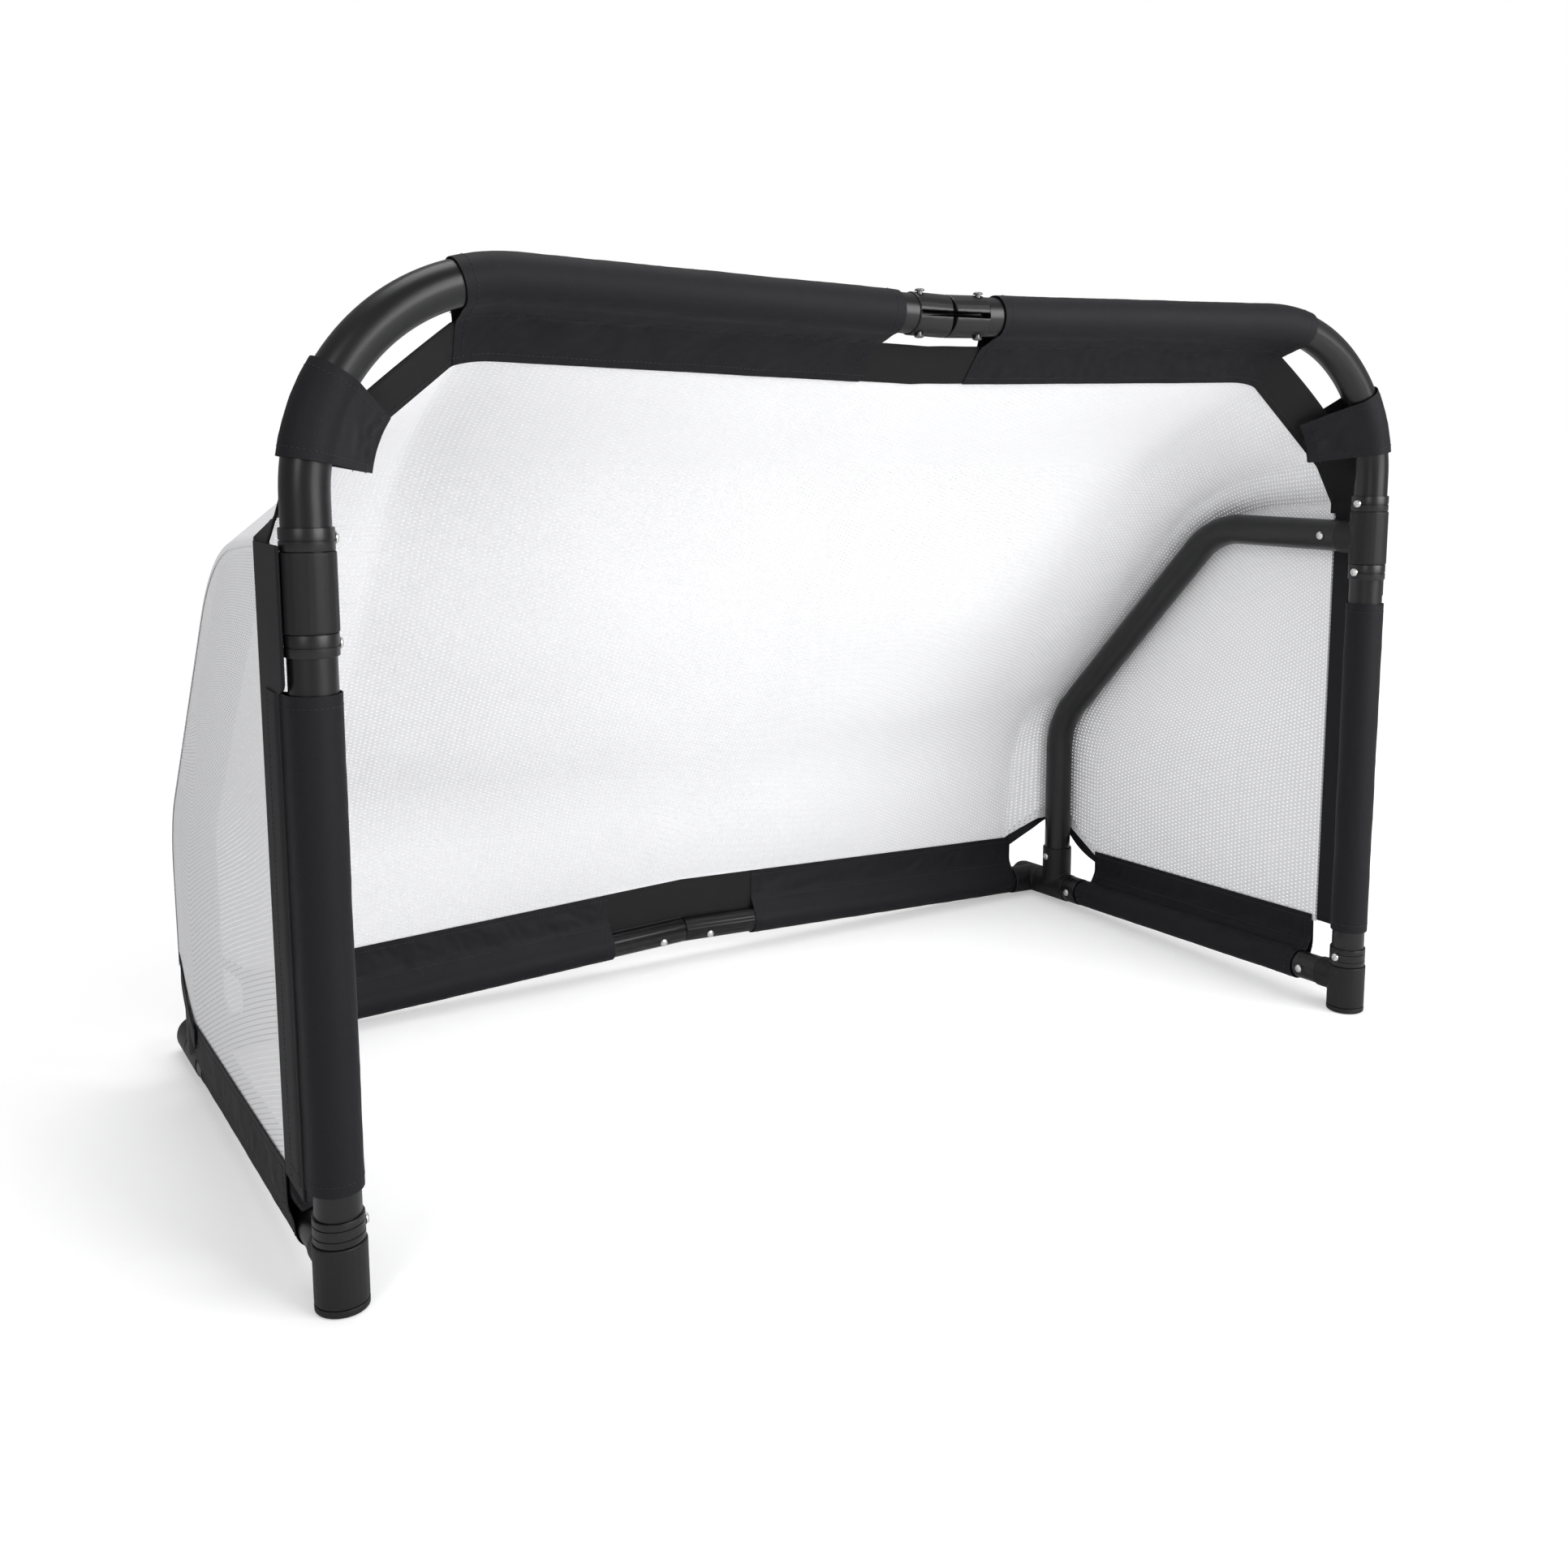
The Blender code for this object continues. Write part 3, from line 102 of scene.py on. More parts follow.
def rearMatrix(side):
    lift = Matrix.Rotation(side * goal["bow"], 4, "Y")
    return lineMatrix(side) @ Matrix.Translation((0, goal["rearReach"], 0)) @ lift


def crossbarLinkMatrix():
    return Matrix.Translation((0, goal["postY"] + goal["pinTravel"], goal["pinHeight"]))


def rearLinkMatrix():
    line = alongSlope(Matrix.Translation((0, goal["postY"], 0)))
    return line @ Matrix.Translation((0, goal["rearReach"], goal["pinTravel"]))


# Finishes. Grain is the scale of the surface's fine bumps, and weave the cloth's thread pitch
looks = {
    "tube": dict(
        colour=(0.0045, 0.0045, 0.0048), roughness=0.33, specular=0.42, grain=900, bump=0.10
    ),
    "fitting": dict(
        colour=(0.0065, 0.0065, 0.0068), roughness=0.52, specular=0.32, grain=1400, bump=0.25
    ),
    "collar": dict(
        colour=(0.0055, 0.0055, 0.0058), roughness=0.36, specular=0.42, grain=1100, bump=0.12
    ),
    "zinc": dict(colour=(0.72, 0.72, 0.70), roughness=0.28, metallic=1.0, grain=700, bump=0.10),
    "darkZinc": dict(colour=(0.16, 0.16, 0.16), roughness=0.4, metallic=1.0, grain=700, bump=0.1),
    "plate": dict(colour=(0.03, 0.03, 0.03), roughness=0.42, metallic=1.0, grain=900, bump=0.15),
    "fabric": dict(
        colour=(0.0052, 0.0048, 0.0068),
        roughness=0.66,
        specular=0.24,
        sheen=0.008,
        grain=650,
        bump=0.35,
        weave=0.0009,
    ),
    "band": dict(
        colour=(0.0110, 0.0110, 0.0110),
        roughness=0.80,
        specular=0.20,
        sheen=0.01,
        grain=900,
        bump=0.25,
        weave=0.0007,
    ),
    "thread": dict(colour=(0.010, 0.010, 0.011), roughness=0.6, grain=900, bump=0.1),
    "net": dict(
        colour=(0.88, 0.88, 0.895), roughness=0.7, specular=0.2, grain=800, bump=0.2, spread=0.01
    ),
}
slots = {
    "tube": "black_powder_coat",
    "fitting": "black_moulding",
    "collar": "black_collar",
    "zinc": "zinc_plate",
    "darkZinc": "zinc_plate",
    "plate": "dark_steel",
    "fabric": "black_woven_fabric",
    "band": "charcoal_band",
    "thread": "black_woven_fabric",
    "net": "white_knit_net",
}
finishNames = {**slots, "thread": "black_thread", "darkZinc": "dark_zinc"}
surface = {
    "cloudScale": 14.0,
    "toneSpread": 0.12,
    "glossSpread": 0.05,
    "grainDepth": 0.0004,
    "weaveStrength": 0.25,
    "weaveDepth": 0.00015,
    "weaveWobble": 0.6,
}


def addNode(tree, kind, values=None, **settings):
    node = tree.nodes.new(kind)
    for key, value in settings.items():
        setattr(node, key, value)
    for key, value in (values or {}).items():
        node.inputs[key].default_value = value
    return node


def finishMaterial(name, look):
    material = bpy.data.materials.new(name)
    material.use_nodes = True
    tree = material.node_tree
    link = tree.links.new
    shader = tree.nodes["Principled BSDF"]
    shader.inputs["Metallic"].default_value = look.get("metallic", 0.0)
    shader.inputs["Specular IOR Level"].default_value = look.get("specular", 0.5)
    shader.inputs["Sheen Weight"].default_value = look.get("sheen", 0.0)
    shader.inputs["Sheen Roughness"].default_value = 0.6
    place = addNode(tree, "ShaderNodeTexCoord")
    grain = addNode(tree, "ShaderNodeTexNoise", {"Scale": look["grain"], "Detail": 3.0})
    bump = addNode(
        tree, "ShaderNodeBump", {"Strength": look["bump"], "Distance": surface["grainDepth"]}
    )
    cloud = addNode(tree, "ShaderNodeTexNoise", {"Scale": surface["cloudScale"], "Detail": 4.0})
    spread = look.get("spread", surface["toneSpread"])
    dark = (*[c * (1 - spread) for c in look["colour"]], 1)
    light = (*[min(1.0, c * (1 + spread)) for c in look["colour"]], 1)
    tone = addNode(tree, "ShaderNodeMix", {6: dark, 7: light}, data_type="RGBA")
    low, high = (look["roughness"] + sign * surface["glossSpread"] for sign in (-1, 1))
    rough = addNode(tree, "ShaderNodeMapRange", {"To Min": low, "To Max": high})
    link(place.outputs["Object"], grain.inputs["Vector"])
    link(place.outputs["Object"], cloud.inputs["Vector"])
    link(grain.outputs["Fac"], bump.inputs["Height"])
    link(cloud.outputs["Fac"], tone.inputs[0])
    link(cloud.outputs["Fac"], rough.inputs["Value"])
    link(tone.outputs[2], shader.inputs["Base Color"])
    link(rough.outputs["Result"], shader.inputs["Roughness"])
    if "weave" in look:
        weaveInto(tree, bump, look["weave"])
    link(bump.outputs["Normal"], shader.inputs["Normal"])
    return material


def weaveInto(tree, bump, pitch):  # crossing threads on the piece's UV map, which is in metres
    uv = addNode(tree, "ShaderNodeTexCoord")
    values = {
        "Scale": 2 * math.pi / (20 * pitch),
        "Distortion": surface["weaveWobble"],
        "Detail": 1.0,
    }
    both = addNode(tree, "ShaderNodeMath", operation="ADD")
    for k, direction in enumerate(("X", "Y")):
        wave = addNode(tree, "ShaderNodeTexWave", values, bands_direction=direction)
        tree.links.new(uv.outputs["UV"], wave.inputs["Vector"])
        tree.links.new(wave.outputs["Fac"], both.inputs[k])
    values = {"Strength": surface["weaveStrength"], "Distance": surface["weaveDepth"]}
    threads = addNode(tree, "ShaderNodeBump", values)
    tree.links.new(both.outputs[0], threads.inputs["Height"])
    tree.links.new(threads.outputs["Normal"], bump.inputs["Normal"])


materials = {key: finishMaterial(finishNames[key], look) for key, look in looks.items()}
print("materials made")


def addObject(name, mesh):
    obj = bpy.data.objects.new(name, mesh)
    bpy.context.collection.objects.link(obj)
    return obj


def onlyFinish(mesh, finish):
    mesh.materials.clear()
    mesh.materials.append(materials[finish])


def seal(obj):  # turns a piece's modifiers into plain mesh
    depsgraph = bpy.context.evaluated_depsgraph_get()
    mesh = bpy.data.meshes.new_from_object(obj.evaluated_get(depsgraph), depsgraph=depsgraph)
    obj.modifiers.clear()
    obj.data = mesh
    return obj


def faceOutwards(mesh):
    bm = bmesh.new()
    bm.from_mesh(mesh)
    bmesh.ops.recalc_face_normals(bm, faces=bm.faces)
    bm.to_mesh(mesh)
    bm.free()


def addMesh(name, verts, faces, finish, smoothAngle=40.0, outward=True):
    mesh = bpy.data.meshes.new(name)
    mesh.from_pydata([tuple(v) for v in verts], [], faces)
    if outward:
        faceOutwards(mesh)
    mesh.materials.append(materials[finish])
    mesh.shade_smooth()
    if smoothAngle:
        mesh.set_sharp_from_angle(angle=math.radians(smoothAngle))
    return addObject(name, mesh)


def place(obj, body, finish, nodes=()):  # puts a finished piece on its body
    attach(obj, body)
    if nodes:
        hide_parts(*nodes)
    return obj


def perpendicular(direction):
    hint = Vector((0, 0, 1)) if abs(direction.z) < 0.9 else Vector((0, 1, 0))
    first = (hint - direction * hint.dot(direction)).normalized()
    return first, direction.cross(first).normalized()


# A shape turned about a line. Its profile of (radius, distance along) either starts and ends on
# the line or is a closed loop
def turned(name, matrix, start, direction, profile, finish, steps=64):
    start, direction = Vector(start), Vector(direction).normalized()
    first, second = perpendicular(direction)
    verts, rings = [], []
    for radius, along in profile:
        centre = start + direction * along
        ring = []
        for k in range(steps if radius > 0 else 1):
            angle = 2 * math.pi * k / steps
            ring.append(len(verts))
            way = math.cos(angle) * first + math.sin(angle) * second
            verts.append(matrix @ (centre + radius * way))
        rings.append(ring)
    pairs = list(zip(rings, rings[1:]))
    if len(rings[0]) > 1 and len(rings[-1]) > 1:
        pairs.append((rings[-1], rings[0]))
    faces = []
    for low, high in pairs:
        for k in range(steps):
            n = (k + 1) % steps
            near, far = len(low), len(high)
            corners = [low[k % near], low[n % near], high[n % far], high[k % far]]
            faces.append(tuple(dict.fromkeys(corners)))
    return addMesh(name, verts, faces, finish, 35.0)


def roundedPath(corners, radii, steps):  # a polyline whose inner corners are arcs
    corners = [Vector(c) for c in corners]
    path = [corners[0]]
    for k, radius in enumerate(radii, start=1):
        back = (corners[k - 1] - corners[k]).normalized()
        ahead = (corners[k + 1] - corners[k]).normalized()
        turn = math.pi - back.angle(ahead)
        tangent = radius * math.tan(turn / 2)
        centre = corners[k] + (back + ahead).normalized() * radius / math.cos(turn / 2)
        first = corners[k] + back * tangent - centre
        axis = first.cross(corners[k] + ahead * tangent - centre).normalized()
        for n in range(steps + 1):
            path.append(centre + Matrix.Rotation(turn * n / steps, 3, axis) @ first)
    path.append(corners[-1])
    return path


def pathTangents(path):
    last = len(path) - 1
    return [(path[min(k + 1, last)] - path[max(k - 1, 0)]).normalized() for k in range(len(path))]


def tubeMesh(name, matrix, path, radius, steps=48):  # a hollow tube along a flat path
    path = [Vector(p) for p in path]
    tangents = pathTangents(path)
    plane = Vector((0, 0, 0))
    for a, b in zip(tangents, tangents[1:]):
        plane += a.cross(b)
    plane = plane.normalized() if plane.length > 1e-6 else perpendicular(tangents[0])[0]
    verts, rings = [], []
    for wall in (0.0, goal["wall"]):
        for point, tangent in zip(path, tangents):
            across = tangent.cross(plane).normalized()
            ring = []
            for k in range(steps):
                angle = 2 * math.pi * k / steps
                ring.append(len(verts))
                offset = (radius - wall) * (math.cos(angle) * plane + math.sin(angle) * across)
                verts.append(matrix @ (point + offset))
            rings.append(ring)
    half = len(path)
    loops = rings[:half] + rings[half:][::-1]
    faces = []
    for low, high in zip(loops, loops[1:] + loops[:1]):
        for k in range(steps):
            n = (k + 1) % steps
            faces.append((low[k], low[n], high[n], high[k]))
    return addMesh(name, verts, faces, "tube", 50.0)


def mergedCopy(name, node, finish):  # a CAD piece with its loose triangles joined
    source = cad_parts[node]
    mesh = source.data.copy()
    mesh.transform(source.matrix_world)
    bm = bmesh.new()
    bm.from_mesh(mesh)
    bmesh.ops.remove_doubles(bm, verts=bm.verts, dist=2e-6)
    bm.to_mesh(mesh)
    bm.free()
    onlyFinish(mesh, finish)
    return addObject(name, mesh)


def mouldedCopy(name, node, finish, voxel, rounds):  # its hard edges melt into small radii
    obj = mergedCopy(name, node, finish)
    remesh = obj.modifiers.new("Skin", "REMESH")
    remesh.mode = "VOXEL"
    remesh.voxel_size = voxel
    remesh.use_smooth_shade = True
    relax = obj.modifiers.new("Radii", "SMOOTH")
    relax.factor = 0.5
    relax.iterations = rounds
    seal(obj)
    onlyFinish(obj.data, finish)
    return obj


def smoothCopy(name, node, finish):  # its round faces are shaded smooth
    obj = mergedCopy(name, node, finish)
    obj.data.shade_smooth()
    obj.data.set_sharp_from_angle(angle=math.radians(32.0))
    return obj


# Node groups for what repeats: the knit, the stitches and the screws


def nodeGroup(name, inputs):
    group = bpy.data.node_groups.new(name, "GeometryNodeTree")
    socket = group.interface.new_socket
    socket("Geometry", in_out="INPUT", socket_type="NodeSocketGeometry")
    for label, kind in inputs.items():
        socket(label, in_out="INPUT", socket_type="NodeSocket" + kind)
    socket("Finish", in_out="INPUT", socket_type="NodeSocketMaterial")
    socket("Geometry", in_out="OUTPUT", socket_type="NodeSocketGeometry")
    return group, group.nodes.new("NodeGroupInput"), group.nodes.new("NodeGroupOutput")


def runGroup(name, mesh, group, finish, values):  # a piece made by a group, as plain mesh
    obj = addObject(name, mesh)
    modifier = obj.modifiers.new(group.name, "NODES")
    modifier.node_group = group
    values = {**values, "Finish": materials[finish]}
    for item in group.interface.items_tree:
        if item.item_type == "SOCKET" and item.in_out == "INPUT" and item.name in values:
            modifier[item.identifier] = values[item.name]
    seal(obj)
    onlyFinish(obj.data, finish)
    return obj


def endGroup(group, source, given, gone):
    real = addNode(group, "GeometryNodeRealizeInstances")
    paint = addNode(group, "GeometryNodeSetMaterial")
    group.links.new(source, real.inputs[0])
    group.links.new(real.outputs[0], paint.inputs["Geometry"])
    group.links.new(given.outputs["Finish"], paint.inputs["Material"])
    group.links.new(paint.outputs[0], gone.inputs[0])


def makeKnitGroup():  # opens a hole in each face and sinks its rim, so that strands remain
    group, given, gone = nodeGroup("openKnit", {"Hole": "Float", "Relief": "Float"})
    values = {"Offset Scale": 0.0, "Individual": True}
    extrude = addNode(group, "GeometryNodeExtrudeMesh", values, mode="FACES")
    shrink = addNode(group, "GeometryNodeScaleElements", domain="FACE")
    sink = addNode(group, "GeometryNodeSetPosition")
    normal = addNode(group, "GeometryNodeInputNormal")
    depth = addNode(group, "ShaderNodeVectorMath", operation="SCALE")
    drop = addNode(group, "GeometryNodeDeleteGeometry", domain="FACE")
    link = group.links.new
    link(given.outputs["Geometry"], extrude.inputs["Mesh"])
    link(extrude.outputs["Mesh"], shrink.inputs["Geometry"])
    link(extrude.outputs["Top"], shrink.inputs["Selection"])
    link(given.outputs["Hole"], shrink.inputs["Scale"])
    link(shrink.outputs[0], sink.inputs["Geometry"])
    link(extrude.outputs["Top"], sink.inputs["Selection"])
    link(normal.outputs[0], depth.inputs[0])
    link(given.outputs["Relief"], depth.inputs["Scale"])
    link(depth.outputs[0], sink.inputs["Offset"])
    link(sink.outputs[0], drop.inputs["Geometry"])
    link(extrude.outputs["Top"], drop.inputs["Selection"])
    endGroup(group, drop.outputs[0], given, gone)
    return group


# Sets short threads in a row along each line of edges. A thread reaches 0.36 of the pitch each
# way
def makeStitchGroup():
    group, given, gone = nodeGroup("stitchRow", {"Pitch": "Float", "Thread": "Float"})
    curve = addNode(group, "GeometryNodeMeshToCurve")
    spaced = addNode(group, "GeometryNodeResampleCurve", mode="LENGTH")
    tangent = addNode(group, "GeometryNodeInputTangent")
    turn = addNode(group, "FunctionNodeAlignRotationToVector", axis="Z")
    values = {"Segments": 6, "Rings": 5, "Radius": 1.0}
    bead = addNode(group, "GeometryNodeMeshUVSphere", values)
    reach = addNode(group, "ShaderNodeMath", {1: 0.36}, operation="MULTIPLY")
    size = addNode(group, "ShaderNodeCombineXYZ")
    spread = addNode(group, "GeometryNodeInstanceOnPoints")
    link = group.links.new
    link(given.outputs["Geometry"], curve.inputs["Mesh"])
    link(curve.outputs[0], spaced.inputs["Curve"])
    link(given.outputs["Pitch"], spaced.inputs["Length"])
    link(given.outputs["Pitch"], reach.inputs[0])
    link(tangent.outputs[0], turn.inputs["Vector"])
    link(given.outputs["Thread"], size.inputs[0])
    link(given.outputs["Thread"], size.inputs[1])
    link(reach.outputs[0], size.inputs[2])
    link(spaced.outputs[0], spread.inputs["Points"])
    link(bead.outputs[0], spread.inputs["Instance"])
    link(turn.outputs[0], spread.inputs["Rotation"])
    link(size.outputs[0], spread.inputs["Scale"])
    endGroup(group, spread.outputs[0], given, gone)
    return group


def makeScrewGroup():  # sets a copy of one screw on each point, turned to the point's facing
    group, given, gone = nodeGroup("screwSet", {"Screw": "Object"})
    master = addNode(group, "GeometryNodeObjectInfo")
    facing = addNode(group, "GeometryNodeInputNamedAttribute", data_type="FLOAT_VECTOR")
    facing.inputs["Name"].default_value = "facing"
    turn = addNode(group, "FunctionNodeAlignRotationToVector", axis="Z")
    spread = addNode(group, "GeometryNodeInstanceOnPoints")
    link = group.links.new
    link(given.outputs["Screw"], master.inputs["Object"])
    link(facing.outputs[0], turn.inputs["Vector"])
    link(given.outputs["Geometry"], spread.inputs["Points"])
    link(master.outputs["Geometry"], spread.inputs["Instance"])
    link(turn.outputs[0], spread.inputs["Rotation"])
    endGroup(group, spread.outputs[0], given, gone)
    return group


knitGroup, stitchGroup, screwGroup = makeKnitGroup(), makeStitchGroup(), makeScrewGroup()


# Tubes. Strut and side bar places are distances to the rear of the post, and heights
tubes = {
    "bendSteps": 40,
    "archFoot": 0.0113,
    "archEnd": 0.541612,
    "strutSteps": 28,
    "strutStart": 0.0363,
    "strutTurn": 0.229,
    "strutLow": 0.262,
    "strutFoot": 0.0453,
    "strutBend": 0.100,
    "sideBar": (0.0353, 0.30, 0.585),
}


def barPoint(side, inward):  # on the crossbar's axis, in the arch's frame
    height = goal["crossbarHeight"] - inward * math.tan(goal["sag"])
    return Vector((-side * inward, 0, height))


def makeTubes(side, label):
    top = (0, 0, goal["crossbarHeight"])
    corners = [(0, 0, tubes["archFoot"]), top, barPoint(side, tubes["archEnd"])]
    path = roundedPath(corners, [goal["bendRadius"]], tubes["bendSteps"])
    arch = tubeMesh(label + "_arch_tube_smooth", archMatrix(side), path, goal["tube"])
    place(arch, label + "_arch", "tube", [label + "_arch_tube"])
    tee, reach = goal["middleTee"], goal["strutReach"]
    corners = [
        (0, tubes["strutStart"], tee),
        (0, tubes["strutTurn"], tee),
        (0, reach, tubes["strutLow"]),
        (0, reach, tubes["strutFoot"]),
    ]
    path = roundedPath(corners, [tubes["strutBend"]] * 2, tubes["strutSteps"])
    strut = tubeMesh(label + "_strut_smooth", sideMatrix(side), path, goal["tube"])
    place(strut, label + "_side_frame", "tube", [label + "_strut"])
    path = [linePoint(along) for along in tubes["sideBar"]]
    bar = tubeMesh(label + "_side_bar_smooth", sideMatrix(side), path, goal["floorTube"])
    place(bar, label + "_side_frame", "tube", [label + "_side_bar"])
    rear = smoothCopy(label + "_rear_bar_smooth", label + "_rear_bar", "tube")
    place(rear, label + "_rear_half", "tube", [label + "_rear_bar"])


for side, label in sides:
    makeTubes(side, label)
print("tubes made")


# Fittings. A collar has its low and high ends and its grooves' shares of the height between
fittings = {"voxel": 0.00085, "rounds": 9, "hingeVoxel": 0.0006, "hingeRounds": 5}
collars = {
    "inner": 0.0184,
    "outer": 0.0198,
    "upper_collar": (0.5829, 0.5997, (0.46,)),
    "lower_collar": (0.5063, 0.5231, (0.46,)),
    "base_collar": (0.0554, 0.0759, (0.30, 0.72)),
    "soft": 0.0006,
    "groove": 0.0007,
    "rearInner": 0.0164,
    "rearOuter": 0.0184,
    "rearLength": 0.026,
    "rearGap": 0.0003,
}
footCap = (
    (0, 0),
    (0.0193, 0),
    (0.0203, 0.0004),
    (0.0209, 0.0012),
    (0.0210, 0.0050),
    (0.0206, 0.0060),
    (0.0180, 0.0060),
    (0.0180, 0.0110),
    (0, 0.0110),
)


def collarProfile(inner, outer, low, high, grooves):
    soft, cut = collars["soft"], collars["groove"]
    part = soft * 0.3
    profile = [(inner, low), (outer - soft, low), (outer - part, low + part), (outer, low + soft)]
    for share in grooves:
        middle = low + (high - low) * share
        profile += [
            (outer, middle - cut),
            (outer - cut, middle - cut * 0.6),
            (outer - cut, middle + cut * 0.6),
            (outer, middle + cut),
        ]
    profile += [(outer, high - soft), (outer - part, high - part), (outer - soft, high)]
    return [*profile, (inner, high)]


def makeFittings(side, label):
    arch, sideFrame = label + "_arch", label + "_side_frame"
    parts = {
        "middle_tee": sideFrame,
        "base_tee": sideFrame,
        "socket_tee": sideFrame,
        "rear_tee": label + "_rear_half",
    }
    for part, body in parts.items():
        node = f"{label}_{part}"
        tee = mouldedCopy(node + "_moulded", node, "fitting", fittings["voxel"], fittings["rounds"])
        place(tee, body, "fitting", [node])
    node = label + "_crossbar_hinge"
    voxel, rounds = fittings["hingeVoxel"], fittings["hingeRounds"]
    place(mouldedCopy(node + "_moulded", node, "collar", voxel, rounds), arch, "collar", [node])
    up = (0, 0, 1)
    for part in ("upper_collar", "lower_collar", "base_collar"):
        profile = collarProfile(collars["inner"], collars["outer"], *collars[part])
        node = f"{label}_{part}"
        ring = turned(node + "_ring", archMatrix(side), (0, 0, 0), up, profile, "collar")
        place(ring, arch, "collar", [node])
    end = goal["socketPlace"] - goal["teeHalf"] - collars["rearGap"]
    span = (end - collars["rearLength"], end, (0.5,))
    profile = collarProfile(collars["rearInner"], collars["rearOuter"], *span)
    node = label + "_rear_collar"
    ring = turned(node + "_ring", lineMatrix(side), (0, 0, 0), (0, 1, 0), profile, "collar")
    place(ring, sideFrame, "collar", [node])
    node = label + "_foot_cap"
    cap = turned(node + "_ring", sideMatrix(side), (0, 0, 0), up, footCap, "fitting")
    place(cap, sideFrame, "fitting", [node])


for side, label in sides:
    makeFittings(side, label)
print("fittings made")


# Screws and pins. Heights are up the post, and distances are along the strut and the side bar
screws = {
    "head": 0.0047,
    "height": 0.0026,
    "socket": 0.0021,
    "depth": 0.0015,
    "shank": 0.0019,
    "point": -0.0017,
    "lift": 0.0003,
    "dome": ((1.0, 0.0), (1.0, 0.22), (0.93, 0.52), (0.80, 0.78), (0.62, 0.95), (0.52, 1.0)),
    "collars": {"upper_collar": 0.5913, "lower_collar": 0.5147, "base_collar": 0.06565},
    "strut": 0.052,
    "sideBar": 0.056,
    "socketHeight": 0.066,
    "socketRadius": 0.0205,
    "rearCollar": 0.0428,
}
pins = {
    "radius": 0.0025,
    "lift": 0.0003,
    "dome": ((0.0, 0.0022), (0.0020, 0.0021), (0.0036, 0.0016), (0.0044, 0.0009), (0.0046, 0.0)),
    "crossbarFace": 0.0195,
    "plateShrink": 0.00025,
}


def ringPoints(reach, height, steps):
    angles = [2 * math.pi * k / steps for k in range(steps)]
    return [(reach(a) * math.cos(a), reach(a) * math.sin(a), height) for a in angles]


def makeScrewMaster():  # a button screw with a six-sided socket, on its seat and pointing up
    steps = 24
    top, floor, point = screws["height"], screws["height"] - screws["depth"], screws["point"]
    verts = []
    for share, height in screws["dome"]:
        verts += ringPoints(lambda a: share * screws["head"], height * top, steps)
    for height in (top, floor):
        hexagon = lambda a: screws["socket"] / math.cos((a % (math.pi / 3)) - math.pi / 6)
        verts += ringPoints(hexagon, height, steps)
    faces = []
    rings = len(screws["dome"]) + 1
    for ring in range(rings):
        for k in range(steps):
            n = (k + 1) % steps
            low, high = ring * steps, (ring + 1) * steps
            faces.append((low + k, low + n, high + n, high + k))
    last = len(verts)
    verts.append((0, 0, floor))
    faces += [(rings * steps + k, rings * steps + (k + 1) % steps, last) for k in range(steps)]
    for height in (0.0, point):
        verts += ringPoints(lambda a: screws["shank"], height, steps)
    base, foot = last + 1, len(verts)
    for k in range(steps):
        n = (k + 1) % steps
        faces.append((n, k, base + k, base + n))
        faces.append((base + n, base + k, base + steps + k, base + steps + n))
    verts.append((0, 0, point))
    faces += [(base + steps + (k + 1) % steps, base + steps + k, foot) for k in range(steps)]
    return addMesh("screw_master", verts, faces, "zinc", 35.0)


screwMaster = makeScrewMaster()


def makeScrews(name, body, seats, nodes):  # a seat is a point and the way it faces
    mesh = bpy.data.meshes.new(name)
    mesh.from_pydata([tuple(point) for point, facing in seats], [], [])
    facing = mesh.attributes.new("facing", "FLOAT_VECTOR", "POINT")
    facing.data.foreach_set("vector", [c for point, way in seats for c in way])
    obj = runGroup(name, mesh, screwGroup, "zinc", {"Screw": screwMaster})
    place(obj, body, "zinc", nodes)


def seat(matrix, centre, facing, radius):
    centre = Vector(centre) + facing * (radius + screws["lift"])
    return matrix @ centre, matrix.to_3x3() @ facing


def makeSideScrews(side, label):
    inward = Vector((-side, 0, 0))
    arch, sideFrame = archMatrix(side), sideMatrix(side)
    heights = screws["collars"]
    seats = [seat(arch, (0, 0, height), inward, collars["outer"]) for height in heights.values()]
    nodes = [f"{label}_{part}_screw" for part in heights]
    makeScrews(label + "_collar_screws", label + "_arch", seats, nodes)
    rear = linePoint(goal["socketPlace"] - screws["rearCollar"])
    socket = (0, goal["strutReach"], screws["socketHeight"])
    seats = [
        seat(sideFrame, (0, screws["strut"], goal["middleTee"]), inward, goal["tube"]),
        seat(sideFrame, linePoint(screws["sideBar"]), inward, goal["floorTube"]),
        seat(sideFrame, socket, inward, screws["socketRadius"]),
        seat(sideFrame, rear, inward, collars["rearOuter"]),
    ]
    nodes = [label + "_strut_screw", label + "_side_bar_screw"]
    makeScrews(label + "_frame_screws", label + "_side_frame", seats, nodes)


def makeLink(name, matrix, way, face, finish):  # a link's plate, and a domed pin at each end
    plate = smoothCopy(f"{name}_link_plate", f"{name}_link", "plate")
    shrunk = [vert.co - vert.normal * pins["plateShrink"] for vert in plate.data.vertices]
    for vert, spot in zip(plate.data.vertices, shrunk):
        vert.co = spot
    place(plate, f"{name}_link", "plate", [f"{name}_link"])
    low, radius = face + pins["lift"], pins["radius"]
    profile = [(r, low + h) for r, h in pins["dome"]] + [(radius, low), (radius, -low)]
    profile += [(r, -low - h) for r, h in reversed(pins["dome"])]
    for end, label in sides:
        start = (end * goal["pinToSeam"], 0, 0)
        pin = turned(f"{name}_pin_{label}_dome", matrix, start, way, profile, finish, 32)
        place(pin, f"{name}_link", finish, [f"{name}_pin_{label}"])


